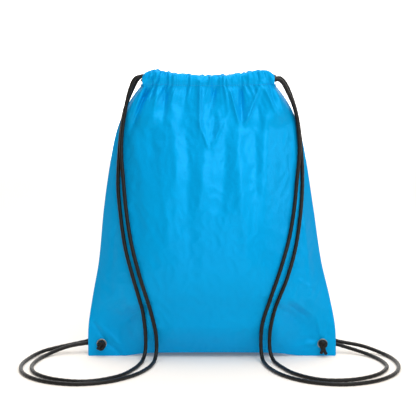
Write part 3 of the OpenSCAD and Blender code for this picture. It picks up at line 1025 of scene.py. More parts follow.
@dataclass
class ClothSettler:
    """Lets a panel find its own folds: more cloth than room at the neck, and air inside."""

    name: str
    frames: int = 30
    pressure: float = 1.2
    cap: float = 9.0
    quality: int = 7

    def settle(self, start: Array, cut: Array, held: Array) -> Array:
        """Runs the cloth simulation on one panel.

        Args:
            start: rows x columns x 3 points, columns to the right seen from outside.
            cut: the same points in the flat cut cloth, rows x columns x 2.
            held: how firmly each point is held, from 0 to 1.

        Returns:
            The settled points, none further than cap from where it started.
        """
        rows, columns = start.shape[:2]
        quads = grid_quads(rows, columns)
        mesh = bpy.data.meshes.new(self.name)
        mesh.from_pydata((start.reshape(-1, 3) * MM).tolist(), [], quads.tolist())
        piece = bpy.data.objects.new(self.name, mesh)
        bpy.context.scene.collection.objects.link(piece)
        group = piece.vertex_groups.new(name="held")
        for level in np.unique(np.round(held, 2)):
            if level > 0:
                picked = np.flatnonzero(np.round(held, 2).ravel() == level)
                group.add(picked.tolist(), float(level), "REPLACE")
        piece.shape_key_add(name="Basis")
        flat = piece.shape_key_add(name="cut")
        places = np.zeros((rows * columns, 3))
        places[:, 0], places[:, 2] = cut[..., 0].ravel() * MM, cut[..., 1].ravel() * MM
        flat.data.foreach_set("co", places.ravel())
        flat.value = 0
        modifier = piece.modifiers.new("cloth", "CLOTH")
        cloth = modifier.settings
        feel = {
            "quality": self.quality, "mass": 0.05, "tension_stiffness": 12,
            "compression_stiffness": 12, "shear_stiffness": 3, "bending_stiffness": 0.05,
            "tension_damping": 8, "compression_damping": 8, "bending_damping": 0.6,
            "air_damping": 2.0, "vertex_group_mass": "held", "rest_shape_key": flat,
            "use_pressure": True, "uniform_pressure_force": self.pressure,
        }
        for key, value in feel.items():
            setattr(cloth, key, value)
        cloth.effector_weights.gravity = 0.2
        modifier.collision_settings.use_collision = False
        modifier.point_cache.frame_start = 1
        modifier.point_cache.frame_end = self.frames
        scene = bpy.context.scene
        for frame in range(1, self.frames + 1):
            scene.frame_set(frame)
        graph = bpy.context.evaluated_depsgraph_get()
        done = piece.evaluated_get(graph).to_mesh()
        places = np.zeros(rows * columns * 3)
        done.vertices.foreach_get("co", places)
        scene.frame_set(1)
        bpy.data.objects.remove(piece)
        moved = places.reshape(rows, columns, 3) / MM - start
        far = np.linalg.norm(moved, axis=-1, keepdims=True)
        LOG.info("%s settled: median %.1f mm, most %.1f mm", self.name, np.median(far), far.max())
        return start + moved * np.tanh(far / self.cap) * self.cap / np.maximum(far, 1e-6)


@dataclass
class BodyCloth:
    """The two sewn panels: gathered at the neck, full in the middle, flat at the lower corners."""

    form: BagForm
    finish: Material
    gathers: dict[Face, Gathers]
    hems: dict[Face, dict[Side, list[Object]]]
    mouths: dict[Face, "MouthHem"]
    columns: int = 161
    front_rows: int = 151
    back_rows: int = 181
    wall: float = 0.5
    neck_out: float = 2.1
    top: float = 367.5
    flat_width: float = 356.0
    flat_length: float = 400.0
    cover_from: float = 366.5
    settle_share: float = 0.5
    settle_from: float = 60.0
    settle_over: float = 170.0
    spare_width: float = 1.03
    ear_hold: float = 0.35
    crumple_top: float = 348.0
    crumple_fade: float = 16.0
    # Each size of crumple's width, how much taller than wide it is, and its strength
    crumples: ClassVar[tuple] = ((34.0, 2.2, 1.5), (12.0, 1.5, 1.0))

    @property
    def shares(self) -> Array:
        """Each column's place across the panel, from -1 to 1."""
        return np.linspace(-1, 1, self.columns)[None, :]

    def outer_grid(self, face: Face) -> Array:
        """Outer face of one panel before its small pleats.

        Args:
            face: front or back.

        Returns:
            Rows x columns x 3 points, columns from left to right as seen from the front.
        """
        form = self.form
        if face is Face.FRONT:
            z = np.linspace(0, self.top, self.front_rows)[:, None]
            u, z = np.broadcast_arrays(self.shares, z)
            low = np.minimum(z, form.body_h)
            grid = form.front(u, low)
            grid[..., 2] += np.maximum(0, z - form.body_h)
            room = form.fullness(u, low)
            grid[..., 1] -= self.neck_out * ease((grid[..., 2] - 335) / 28) * room
            return grid
        row = np.linspace(0, len(form.rows) - 1, self.back_rows)[:, None]
        return form.back(*np.broadcast_arrays(self.shares, row))

    def build(self) -> dict[Face, BVHTree]:
        """Makes both panels in halves.

        Returns:
            A tree of each panel's outer face, to lay cords on.
        """
        trees = {}
        for face in Face:
            grid = self.outer_grid(face)
            grid = self.settled(face, grid)
            grid = self.with_gathers(face, self.folded(face, self.crumpled(face, grid)))
            cover = self.mouths[face].cover(self.shares[0])
            grid = np.concatenate([grid[grid[:, self.columns // 2, 2] < self.cover_from], cover])
            quads = grid_quads(*grid.shape[:2])
            trees[face] = BVHTree.FromPolygons(grid.reshape(-1, 3).tolist(), quads.tolist())
            self.halves(face, grid)
        return trees

    def settled(self, face: Face, grid: Array) -> Array:
        """The panel after its cloth has settled, held at its seams, hem and corners."""
        coarse = grid[::2, ::2]
        rows, columns = coarse.shape[:2]
        if face is Face.BACK:
            coarse = coarse[:, ::-1]
        steps = np.linalg.norm(np.diff(coarse, axis=0), axis=-1)
        up = np.concatenate([np.zeros((1, columns)), np.cumsum(steps, axis=0)])
        across = np.linspace(-0.5, 0.5, columns)[None, :] * self.flat_width
        chord = np.linalg.norm(np.diff(coarse, axis=1), axis=-1).sum(1)[:, None]
        width = np.maximum(1.0, chord * self.spare_width / self.flat_width)
        cut = np.stack(np.broadcast_arrays(across * width, up), -1)
        edge = np.minimum(np.arange(columns), np.arange(columns)[::-1])[None, :]
        row = np.arange(rows)[:, None]
        u = np.linspace(-1, 1, columns)[None, :]
        ear = 1 - ease(self.form.ear_share(u, coarse[..., 2]) / self.ear_hold)
        side, top, foot = (edge - 1) / 4, (rows - 1 - row) / 7, (row - 1) / 4
        free = [np.broadcast_to(ease(far), ear.shape) for far in (side, top, foot)]
        held = np.maximum.reduce([*(1 - share for share in free), ear])
        done = ClothSettler(f"{face.word}_settling").settle(coarse, cut, np.clip(held, 0, 1))
        share = ease((coarse[..., 2:] - self.settle_from) / self.settle_over)
        done = mix(coarse, done, self.settle_share * share)
        if face is Face.BACK:
            done = done[:, ::-1]
        return doubled(done)

    def crumpled(self, face: Face, grid: Array) -> Array:
        """Adds the light creases that thin coated cloth keeps after it was folded."""
        rise = np.zeros(grid.shape[:2])
        for scale, tall, strength in self.crumples:
            for r, c in np.ndindex(rise.shape):
                x, y, z = grid[r, c]
                place = Vector((x / scale, face.value * 3 + y / scale / 3, z / scale / tall))
                rise[r, c] += strength * (0.25 - abs(noise.noise(place)))
        edge = ease((1 - np.abs(self.shares)) / 0.08) * ease(grid[..., 2] / 12)
        edge = edge * (1 - ease((grid[..., 2] - self.crumple_top) / self.crumple_fade))
        outward = grid_normals(grid if face is Face.FRONT else grid[:, ::-1])
        outward = outward if face is Face.FRONT else outward[:, ::-1]
        return grid + outward * (rise * edge)[..., None]

    def folded(self, face: Face, grid: Array) -> Array:
        """Adds the large folds and the creases over the corners."""
        x, z, inward = grid[..., 0], grid[..., 2], 1 - np.abs(self.shares)
        rise = fold_rise(face, x, z) * ease(inward / 0.07)
        if face is Face.FRONT:
            corner = sum(f.height(x, z) for f in CORNER_FOLDS)
            rise = rise + corner * ease(inward / 0.02)
        else:
            rise = rise * ease((z - 25) / 40)
        return grid + (face.value * rise)[..., None] * np.array([0, 1, 0])

    def with_gathers(self, face: Face, grid: Array) -> Array:
        """Adds the small pleats below the hem."""
        below = np.maximum(0, self.form.body_h - grid[..., 2])
        inward = ease((1 - np.abs(self.shares)) / 0.06)
        rise = self.gathers[face].height(self.shares, below) * inward
        return grid + (rise * face.value)[..., None] * np.array([0, 1, 0])

    def halves(self, face: Face, grid: Array) -> None:
        """Makes the left and right half of one panel."""
        if face is Face.BACK:
            grid = grid[:, ::-1]
        normal = grid_normals(grid)
        inner = grid - normal * self.wall
        inner[..., 2] = np.maximum(inner[..., 2], 0.1)
        rows, columns = grid.shape[:2]
        across = np.linspace(-0.5, 0.5, columns)[None, :] * self.flat_width
        up = np.linspace(0, self.flat_length, rows)[:, None]
        flat = np.stack(np.broadcast_arrays(across, up), -1)
        middle = columns // 2
        for first in (True, False):
            part = slice(0, middle + 1) if first else slice(middle, columns)
            left = first == (face is Face.FRONT)
            side = Side.LEFT if left else Side.RIGHT
            piece = shell(
                f"{face.word}_cloth_{side.word}",
                grid[:, part], inner[:, part], normal[:, part], flat[:, part], self.finish,
            )
            neck_blend(piece, face, side)
            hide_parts(f"{face.word}_panel")
            LOG.info("%s: %d faces", piece.name, len(piece.data.polygons))


# ---------------------------------------------------------------- the mouth


@dataclass
class MouthHem:
    """The drawstring tunnel across one side of the mouth, ruffled by its gathers."""

    face: Face
    form: BagForm
    cloth: Material
    thread: Material
    gathers: Gathers
    stations: int = 357
    wall: float = 0.5
    stitch_up: float = 2.6
    stitch_pitch: float = 3.2
    stitch_long: float = 2.3
    stitch_thick: float = 0.5
    top_line: Points = (
        (-94, 380.5), (-91, 384.2), (-84, 387.2), (-77, 388.6), (-70, 387.6), (-62, 385.7),
        (-43, 383.0), (-16, 381.3), (17, 381.4), (38, 383.6), (54, 386.2), (69, 388.3),
        (76, 386.8), (81, 384.0), (84, 381.0),
    )
    bottom_line: Points = ((-94, 367.5), (-70, 366.2), (-5, 365.0), (60, 366.2), (84, 367.5))
    # [depth from the mouth's middle, share of the hem's height], round the tunnel
    section: Points = (
        (12.6, -0.02), (12.8, 0.04), (13.0, 0.12), (13.3, 0.22), (13.5, 0.40), (13.3, 0.56),
        (12.7, 0.72), (11.6, 0.85), (10.4, 0.93), (9.4, 0.955), (8.4, 0.93), (7.1, 0.85),
        (5.9, 0.72), (5.4, 0.56), (5.2, 0.40), (5.4, 0.24), (6.2, 0.10), (8.0, 0.01),
        (10.4, -0.02),
    )
    cover_section: Points = (
        (14.0, 0.10), (14.3, 0.20), (14.5, 0.32), (14.5, 0.46), (14.2, 0.60), (13.6, 0.73),
        (12.7, 0.85), (11.5, 0.95), (10.2, 1.0), (8.9, 0.985), (7.8, 0.92),
    )
    cover_rows: int = 21
    girth: float = 44.0
    stitch_depth: float = 14.1
    ruffle_spread: float = 2.6
    ruffle_rise: float = 2.8

    def heights(self, x: Array) -> tuple[Array, Array]:
        """Bottom and top of the hem at x."""
        return curve_at(self.bottom_line, x), curve_at(self.top_line, x)

    def surface(self, x: Array, depth: Array, up: Array) -> Array:
        """Places a section point on the gathered hem.

        Args:
            x: place across the mouth.
            depth: depth of the section point.
            up: its share of the hem's height.

        Returns:
            The points, with the broadcast shape of the arguments and a last axis of 3.
        """
        x, depth, up = np.broadcast_arrays(x, depth, up)
        lean, half = self.form.lean, self.form.mouth_half
        bottom, top = self.heights(x)
        share = (x - lean) / half
        fade = ease((1 - np.abs(share)) / 0.06)
        pleat = self.gathers.height(share, np.zeros_like(x)) * fade
        dice = np.random.default_rng(self.gathers.seed + 50)
        table = blurred(dice.normal(size=self.stations), self.ruffle_spread) * self.ruffle_rise
        ruffle = np.interp(share, np.linspace(-1, 1, self.stations), table) * fade
        outside = ease((depth - 8.0) / 4)
        height = bottom + up * (top - bottom)
        rise = pleat * (outside - 0.45 * (1 - outside))
        rise = rise + fold_rise(self.face, x, height) * outside * fade
        height = height + ease((up - 0.7) / 0.3) * (0.55 * pleat + 0.5 * ruffle)
        return np.stack([x, self.face.value * (depth + rise), height], -1)

    def loops(self) -> Array:
        """Outer face of the tunnel: stations x points round x 3."""
        lean, half = self.form.lean, self.form.mouth_half
        x = np.linspace(lean - half, lean + half, self.stations)
        section = np.array(self.section)
        return self.surface(x[:, None], section[None, :, 0], section[None, :, 1])

    def cover(self, u: Array) -> Array:
        """Outer face of the panel where it lies over the hem and turns in at the top.

        Args:
            u: shares across the panel.

        Returns:
            Rows x shares x 3 points, from the stitches up and over.
        """
        x = self.form.lean + u * (self.form.mouth_half + 0.3)
        table = np.array(self.cover_section)
        number = np.linspace(0, len(table) - 1, self.cover_rows)
        depth, up = between(table[:, 0], number), between(table[:, 1], number)
        return self.surface(x[None, :], depth[:, None], up[:, None])

    def build(self) -> dict[Side, list[Object]]:
        """Makes the hem and its stitches in halves.

        Returns:
            Each half's hem and stitches.
        """
        made = {}
        loops = self.loops()
        if self.face is Face.BACK:
            loops = loops[:, ::-1]
        tangent = np.gradient(loops, axis=0)
        round_way = np.roll(loops, -1, 1) - np.roll(loops, 1, 1)
        normal = unit(np.cross(tangent, round_way))
        inner = loops - normal * self.wall
        middle = self.stations // 2
        for side in Side:
            part = slice(0, middle + 1) if side is Side.LEFT else slice(middle, self.stations)
            piece = self.tunnel(f"{self.face.word}_hem_cloth_{side.word}",
                                loops[part], inner[part], normal[part])
            neck_blend(piece, self.face, side)
            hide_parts(f"{self.face.word}_hem")
            stitches = self.stitches(side)
            neck_blend(stitches, self.face, side)
            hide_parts(f"{self.face.word}_hem_thread")
            made[side] = [piece, stitches]
            LOG.info("%s: %d faces", piece.name, len(piece.data.polygons))
        return made

    def tunnel(self, name: str, outer: Array, inner: Array, normal: Array) -> Object:
        """A closed wall between the outer and inner loops of some stations."""
        count, around = outer.shape[:2]
        number = np.arange(2 * count * around).reshape(2, count, around)
        ahead = np.roll(number, -1, 2)
        skin = np.stack([number[0, :-1], number[0, 1:], ahead[0, 1:], ahead[0, :-1]], -1)
        lining = np.stack([number[1, :-1], ahead[1, :-1], ahead[1, 1:], number[1, 1:]], -1)
        rims = []
        for end, way in ((0, 1), (count - 1, -1)):
            quad = [number[0, end], ahead[0, end], ahead[1, end], number[1, end]]
            rims.append(np.stack(quad, -1)[:, ::way])
        station = np.repeat(np.arange(count), around) / self.stations * BodyCloth.flat_width
        girth = np.tile(np.arange(around), count) / around * self.girth
        return two_sided(
            name, (outer, inner), normal, np.stack([station, girth], 1), self.cloth,
            (skin.reshape(-1, 4), lining.reshape(-1, 4)), rims,
        )

    def stitches(self, side: Side) -> Object:
        """One half of the row of stitches that closes the tunnel, made by Geometry Nodes."""
        lean, half = self.form.lean, self.form.mouth_half
        margin = 3.0
        x = np.linspace(lean, lean + side.value * (half - margin), 240)
        bottom, top = self.heights(x)
        line = self.surface(x, np.array(self.stitch_depth), self.stitch_up / (top - bottom))
        name = f"{self.face.word}_hem_stitches_{side.word}"
        row = StitchRow(self.stitch_pitch, self.stitch_long, self.stitch_thick, self.thread)
        return row.sew(name, line)


@dataclass(frozen=True)
class StitchRow:
    """A row of lock stitches along a line."""

    pitch: float
    long: float
    thick: float
    thread: Material

    def tree(self) -> bpy.types.NodeTree:
        """The Geometry Nodes tree: points along the line, one rounded stitch on each."""
        tree = bpy.data.node_groups.new("stitch_row", "GeometryNodeTree")
        face = tree.interface
        face.new_socket("Line", in_out="INPUT", socket_type="NodeSocketGeometry")
        for name in ("Pitch", "Stitch Length", "Thread Radius"):
            face.new_socket(name, in_out="INPUT", socket_type="NodeSocketFloat")
        face.new_socket("Stitches", in_out="OUTPUT", socket_type="NodeSocketGeometry")
        add = partial(add_node, tree)
        given = add("NodeGroupInput").outputs
        line = add("GeometryNodeMeshToCurve", None, {"Mesh": given["Line"]})
        spaced = add(
            "GeometryNodeResampleCurve", None,
            {"Curve": line.outputs[0], "Length": given["Pitch"]}, mode="LENGTH",
        )
        tangent = add("GeometryNodeInputTangent").outputs[0]
        turn = add("FunctionNodeAlignRotationToVector", None, {"Vector": tangent}, axis="Z")
        bead = add("GeometryNodeMeshUVSphere", {"Segments": 8, "Rings": 6, "Radius": 1.0})
        half = add("ShaderNodeMath", {1: 0.5}, {0: given["Stitch Length"]}, operation="MULTIPLY")
        thin = given["Thread Radius"]
        size = add("ShaderNodeCombineXYZ", None, {"X": thin, "Y": thin, "Z": half.outputs[0]})
        placed = add("GeometryNodeInstanceOnPoints", None, {
            "Points": spaced.outputs[0], "Instance": bead.outputs["Mesh"],
            "Rotation": turn.outputs[0], "Scale": size.outputs[0],
        })
        real = add("GeometryNodeRealizeInstances", None, {"Geometry": placed.outputs[0]})
        smooth = add("GeometryNodeSetShadeSmooth", None, {"Geometry": real.outputs[0]})
        dressed = add(
            "GeometryNodeSetMaterial", {"Material": self.thread}, {"Geometry": smooth.outputs[0]}
        )
        add("NodeGroupOutput", None, {0: dressed.outputs[0]})
        return tree

    def sew(self, name: str, line: Array) -> Object:
        """Makes the stitches along a line as a plain mesh.

        Args:
            name: the piece's name.
            line: the points that the row follows, in millimetres.

        Returns:
            The mesh object.
        """
        tree = bpy.data.node_groups.get("stitch_row") or self.tree()
        mesh = bpy.data.meshes.new(name + "_line")
        edges = [(i, i + 1) for i in range(len(line) - 1)]
        mesh.from_pydata((line * MM).tolist(), edges, [])
        carrier = bpy.data.objects.new(name + "_line", mesh)
        bpy.context.scene.collection.objects.link(carrier)
        modifier = carrier.modifiers.new("stitch_row", "NODES")
        modifier.node_group = tree
        wanted = {
            "Pitch": self.pitch * MM, "Stitch Length": self.long * MM,
            "Thread Radius": self.thick / 2 * MM,
        }
        for item in tree.interface.items_tree:
            if item.name in wanted and item.in_out == "INPUT":
                modifier[item.identifier] = wanted[item.name]
        bpy.context.view_layer.update()
        graph = bpy.context.evaluated_depsgraph_get()
        made = bpy.data.meshes.new_from_object(carrier.evaluated_get(graph))
        made.name = name
        bpy.data.objects.remove(carrier)
        piece = bpy.data.objects.new(name, made)
        bpy.context.scene.collection.objects.link(piece)
        return piece


# ---------------------------------------------------------------- seams


@dataclass
class RolledSeams:
    """The turned side edges and the bottom edge, where the panels are sewn together."""

    form: BagForm
    finish: Material
    radius: float = 1.15

    def edge(self, side: Side) -> Array:
        """Line of one side edge, from its lower corner up to the hem."""
        form = self.form
        z = np.linspace(self.radius, form.body_h + 3, 180)
        low = np.minimum(z, form.body_h)
        x = side.value * (form.half_width(low) - 0.4) + form.lean_x(low)
        return np.stack([x, form.seam_y(low) + form.seam_t / 2, z], 1)

    def bottom(self) -> Array:
        """Line of the bottom edge, from corner to corner."""
        u = np.linspace(-1, 1, 220)
        line = self.form.front(u, np.zeros_like(u))
        line[:, 0] *= (self.form.base_half - 0.4) / self.form.base_half
        line[:, 1] += self.form.cloth_t + self.form.seam_t / 2
        line[:, 2] = np.maximum(line[:, 2], self.radius)
        return line

    def build(self) -> None:
        """Makes the three seams."""
        for side in Side:
            line = self.edge(side)
            size = np.full(len(line), self.radius)
            piece = joined(f"side_edge_{side.word}", [tube(line, size, 12, None)], self.finish)
            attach(piece, "bag")
            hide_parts(f"side_seam_{side.word}", f"corner_patch_{side.word}")
            LOG.info("%s", piece.name)
        line = self.bottom()
        size = np.full(len(line), self.radius)
        piece = joined("bottom_edge", [tube(line, size, 12, None)], self.finish)
        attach(piece, "bag")
        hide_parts("bottom_seam")
        LOG.info("%s", piece.name)


# ---------------------------------------------------------------- eyelets


@dataclass
class Eyelet:
    """A rolled metal eyelet in a lower corner, with its washer behind."""

    side: Side
    finish: Material
    x: float = 151.0
    z: float = 17.0
    front_y: float = -38.0
    back_y: float = -34.8
    bore_r: float = 4.0
    wall: float = 0.8
    flange_r: float = 7.0
    flange_t: float = 1.0
    washer_t: float = 0.8

    def build(self) -> None:
        """Makes the eyelet and its washer."""
        lip, edge, tube_r = self.flange_t, self.flange_t * 0.6, self.bore_r + self.wall
        quarter = [(math.cos(a), math.sin(a)) for a in np.linspace(0, math.pi / 2, 7)]
        deep = self.back_y + self.washer_t - self.front_y
        profile = [
            *([self.bore_r + lip - lip * c, -lip * s] for c, s in quarter),
            *([self.flange_r - edge + edge * s, -lip * 0.35 - lip * 0.65 * c] for c, s in quarter),
            [self.flange_r, 0], [tube_r, 0], [tube_r, deep], [tube_r + 0.7, deep],
            [tube_r + 0.9, deep + 0.3], [tube_r + 0.5, deep + 0.6], [self.bore_r, deep + 0.6],
        ]
        centre = (self.side.value * self.x, self.front_y, self.z)
        front = joined(f"eyelet_ring_{self.side.word}", [lathe(profile, centre, 64)], self.finish)
        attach(front, "bag")
        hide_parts(f"eyelet_{self.side.word}")
        inner = tube_r + 0.1
        washer = [
            [inner, 0], [self.flange_r, 0], [self.flange_r, self.washer_t - 0.25],
            [self.flange_r - 0.25, self.washer_t], [inner + 0.25, self.washer_t],
            [inner, self.washer_t - 0.25],
        ]
        centre = (self.side.value * self.x, self.back_y, self.z)
        piece = joined(f"washer_ring_{self.side.word}", [lathe(washer, centre, 64)], self.finish)
        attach(piece, "bag")
        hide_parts(f"eyelet_washer_{self.side.word}")
        LOG.info("%s and its washer", front.name)


# ---------------------------------------------------------------- cords


@dataclass
class Route:
    """One free stretch of a strap cord, 1 to 4 mm off the CAD's points where the photo asks it.

    top leaves the hem, face lies on the front cloth as [x, z, height off it], foot comes down to
    the floor, ground lies on it, and ear goes in through the eyelet from behind.
    """

    top: Points
    face: Points
    foot: Points
    ground: Points
    ear: Points


FLOOR_Z = 2.6
ROUTES = {
    "left_cord_front_run": Route(
        ((-94, -9.4, 379.7), (-96.8, -9.4, 379.9), (-104.5, -9.5, 376.5), (-110.8, -9.5, 363),
         (-115.6, -9.5, 345)),
        ((-120.3, 318, 6), (-122.6, 290, 6), (-122, 266, 5), (-120, 245, 3), (-116, 205, 0),
         (-109, 162, 0), (-97, 117, 0.7), (-84, 74, 0.7), (-76, 38, 0)),
        ((-75, -65, 14), (-77, -76, 4)),
        ((-84, -112), (-102, -150), (-133, -180), (-172, -191), (-212, -178), (-240, -148),
         (-252, -108), (-248, -65)),
        ((-230, -29, 5), (-196, -19, 11), (-174, -15, 15), (-160, -13, 19),
         (-152.5, -18, 19.6), (-151, -25.5, 19.65), (-151, -28, 19.65)),
    ),
    "left_cord_back_run": Route(
        ((-94, 9.4, 379.7), (-96, 9.4, 379.5), (-101.5, 9, 375), (-108, 7.5, 363),
         (-115.2, 3.5, 346), (-119.8, -4, 330)),
        ((-123.2, 308, 0), (-126, 272, 0), (-127, 232, 0), (-123, 192, 0), (-116, 150, 0),
         (-104, 108, 2.5), (-94, 70, 1.5), (-90, 38, 0)),
        ((-90, -64, 14), (-93, -76, 4)),
        ((-102, -115), (-122, -155), (-160, -178), (-200, -168), (-228, -140), (-238, -105),
         (-235, -72)),
        ((-226, -47, 3), (-210, -30, 7), (-194, -25.5, 11), (-174, -21.5, 13.5),
         (-160, -18.5, 14), (-152.5, -21, 14.3), (-151, -25.5, 14.35), (-151, -28, 14.35)),
    ),
    "right_cord_front_run": Route(
        ((84, -9.4, 374.3), (87.5, -9.4, 375.6), (92, -9.5, 374.4), (96.5, -9.5, 369.5),
         (101.6, -9.5, 360), (109.6, -9.5, 343)),
        ((114.8, 325, 6), (117.2, 306, 6), (118.4, 284, 6), (117.2, 264, 5), (115, 246, 4),
         (111, 208, 0), (104, 168, 0), (93, 131, 0.5), (78, 87, 0.7), (67, 48, 0)),
        ((66, -65, 14), (68, -76, 4)),
        ((75, -112), (92, -150), (122, -180), (164, -192), (204, -178), (234, -144),
         (246, -104), (244, -66)),
        ((233, -38, 3.5), (207, -20, 9.5), (174, -15, 15), (160, -13, 19), (152.5, -18, 19.6),
         (151, -25.5, 19.65), (151, -28, 19.65)),
    ),
    "right_cord_back_run": Route(
        ((84, 9.4, 374.3), (88, 9.4, 376.8), (93.5, 9.2, 376.6), (98.8, 8.6, 371.6),
         (104.4, 7.5, 361.5), (110.8, 3.5, 344), (115, -4, 328)),
        ((118.8, 304, 0), (121.8, 268, 0), (122, 230, 0), (118, 188, 0), (111, 148, 0),
         (99, 110, 1.5), (85, 74, 0.7), (78, 40, 0)),
        ((78, -65, 14), (82, -76, 4)),
        ((91, -106), (108, -143), (140, -171), (178, -170), (212, -146), (230, -108), (227, -74)),
        ((217, -50, 3), (200, -31, 5.5), (174, -22, 11.5), (160, -18.5, 14),
         (152.5, -21, 14.3), (151, -25.5, 14.35), (151, -28, 14.35)),
    ),
}

# One of the two ends that run from the eyelet into the knot; the other is turned half round
KNOT_NECK = ((0, -28, 2.6), (0, -33, 2.0), (0, -39, 1.8), (0.6, -43, 1.5))
# Each knot's two cord ends, from the knot's middle. The left ones are cut short.
KNOT_TAILS = {
    Side.LEFT: (
        ((-1.4, -45, -1), (-3.4, -47.2, -3.6), (-4.6, -47, -5.6)),
        ((1.6, -44, -1), (2.2, -45.5, -2.6), (2.0, -45.2, -4.0)),
    ),
    Side.RIGHT: (
        ((0.2, -46, -1), (-0.6, -47.6, -5.2), (-1.5, -46.8, -8.8), (-2.4, -45.8, -11.6)),
        ((1.0, -45.6, -1), (1.4, -46.8, -5.4), (2.8, -46.2, -9.6), (4.6, -45.4, -12.8)),
    ),
}


@dataclass
class StrapCords:
    """The two strap cords: free runs, the stretches in the hems, and the knots."""

    form: BagForm
    finish: Material
    braid: BraidedCord
    cloth: dict[Face, BVHTree]
    radius: float = 2.5
    clear: float = 0.35
    step: float = 1.1
    sides: int = 20
    lift_share: float = 0.5
    lay_front: float = -12.0
    lay_heights: tuple[float, float] = (20.0, 330.0)
    lay_spread: float = 6.0
    hem_sides: int = 16
    hem_depth: float = 9.4
    hem_heights: ClassVar[dict[Side, float]] = {Side.LEFT: 379.7, Side.RIGHT: 374.3}
    turn_in: float = 7.0
    level_top: float = 388.0
    follow: float = 0.62
    knot_y: float = -44.8
    knot_step: float = 0.9
    knot_radius: float = 2.1
    tail_radius: float = 2.15

    def rope(self, line: Array, sides: int) -> tuple[Array, list, Array]:
        """Vertices, faces and UVs of a stretch of cord of full thickness along a line."""
        line = resampled(line, self.step)
        return tube(line, np.full(len(line), self.radius), sides, self.braid.pattern)

    def face_y(self, x: float, z: float) -> float:
        """Depth of the front cloth's outer face at x, z."""
        hit = self.cloth[Face.FRONT].ray_cast(Vector((x, -300, z)), Vector((0, 1, 0)))
        if hit[0] is None:
            low = min(z, self.form.body_h)
            half = float(self.form.half_width(np.array(low)))
            u = max(-1.0, min(1.0, (x - float(self.form.lean_x(np.array(low)))) / half))
            return float(self.form.front(np.array(u), np.array(low))[1])
        return float(hit[0].y)

    def line(self, route: Route) -> Array:
        """The run's middle line, laid on the finished cloth.

        Args:
            route: the run's points.

        Returns:
            Points every step along the run.
        """
        laid = [
            (x, self.face_y(x, z) - self.radius - self.clear - self.lift_share * lift, z)
            for x, z, lift in route.face
        ]
        floor = [(x, y, FLOOR_Z) for x, y in route.ground]
        points = [*route.top, *laid, *route.foot, *floor, *route.ear]
        line = smooth_line(points, self.step)
        free = line.copy()
        for i, (x, y, z) in enumerate(line):
            if y < self.lay_front and self.lay_heights[0] < z < self.lay_heights[1]:
                wanted = self.face_y(x, z) - self.radius - self.clear
                free[i, 1] = min(y, wanted)
        line[:, 1] = np.minimum(blurred(free[:, 1], self.lay_spread), free[:, 1])
        line[:, 2] = np.maximum(line[:, 2], FLOOR_Z)
        return resampled(line, self.step)

    def build(self) -> None:
        """Makes every stretch of cord and the knots."""
        knots = {side: self.knot(side) for side in Side}
        for name, route in ROUTES.items():
            line = self.line(route)
            size = np.full(len(line), self.radius)
            parts = [tube(line, size, self.sides, self.braid.pattern)]
            piece = joined(name.replace("_run", "_strand"), parts, self.finish)
            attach(piece, "bag")
            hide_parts(name)
        self.in_hem()

    def in_hem(self) -> None:
        """Makes the stretches inside the hems and the turns from one hem to the other."""
        lean, half = self.form.lean, self.form.mouth_half
        turn_x = half - self.turn_in
        for face in Face:
            for side in Side:
                parts = []
                for cord, z in self.hem_heights.items():
                    outer = half if cord is side else turn_x
                    x = np.linspace(lean, lean + side.value * outer, 110)
                    top = curve_at(MouthHem.top_line, x)
                    share = ease((half - np.abs(x - lean)) / 30)
                    y = face.value * (self.hem_depth - 0.9 * share)
                    sunk = share * (self.level_top - top) * self.follow
                    parts.append(self.rope(np.stack([x, y, z - sunk], 1), self.hem_sides))
                piece = joined(f"{face.word}_hem_cords_{side.word}", parts, self.finish)
                neck_blend(piece, face, side)
                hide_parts("left_cord_in_hem", "right_cord_in_hem")
        for cord, z in self.hem_heights.items():
            angle = np.linspace(-math.pi / 2, math.pi / 2, 40)
            x = lean - cord.value * (turn_x + self.hem_depth * np.cos(angle) * 0.8)
            line = np.stack([x, self.hem_depth * np.sin(angle), np.full_like(x, z)], 1)
            part = self.rope(line, self.hem_sides)
            piece = joined(f"{cord.word}_cord_turn", [part], self.finish)
            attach(piece, "bag")
            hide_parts(f"{cord.word}_cord_in_hem")

    def knot(self, side: Side) -> Object:
        """The stopper knot in front of an eyelet: both cord ends tied in one overhand knot."""
        x0, z0 = side.value * Eyelet.x, Eyelet.z
        low = 1.5 if side is Side.LEFT else 0.0
        t = np.linspace(0, math.tau, 150)
        reach = 2 + np.cos(3 * t)
        x = x0 + 1.5 * reach * np.cos(2 * t + 0.5)
        z = z0 - low + 1.62 * reach * np.sin(2 * t + 0.5)
        turns = np.stack([x, self.knot_y + 2.0 * np.sin(3 * t), z], 1)
        turns = resampled(turns, self.knot_step)
        parts = [tube(turns, np.full(len(turns), self.knot_radius), 14, self.braid.pattern)]
        for up in (-1, 1):
            neck = [(x0 + up * x, y, z0 + up * z) for x, y, z in KNOT_NECK]
            line = smooth_line(neck, self.knot_step)
            parts.append(tube(line, np.linspace(2.3, 1.9, len(line)), 12, self.braid.pattern))
        for tail in KNOT_TAILS[side]:
            line = smooth_line([(x0 + x, y, z0 + z) for x, y, z in tail], self.knot_step)
            size = np.full(len(line), self.tail_radius)
            size[-2:] = (2.35, 2.0)
            parts.append(tube(line, size, 12, self.braid.pattern))
        piece = joined(f"{side.word}_stopper_knot", parts, self.finish)
        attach(piece, "bag")
        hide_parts(f"{side.word}_knot")
        return piece


# ---------------------------------------------------------------- the studio


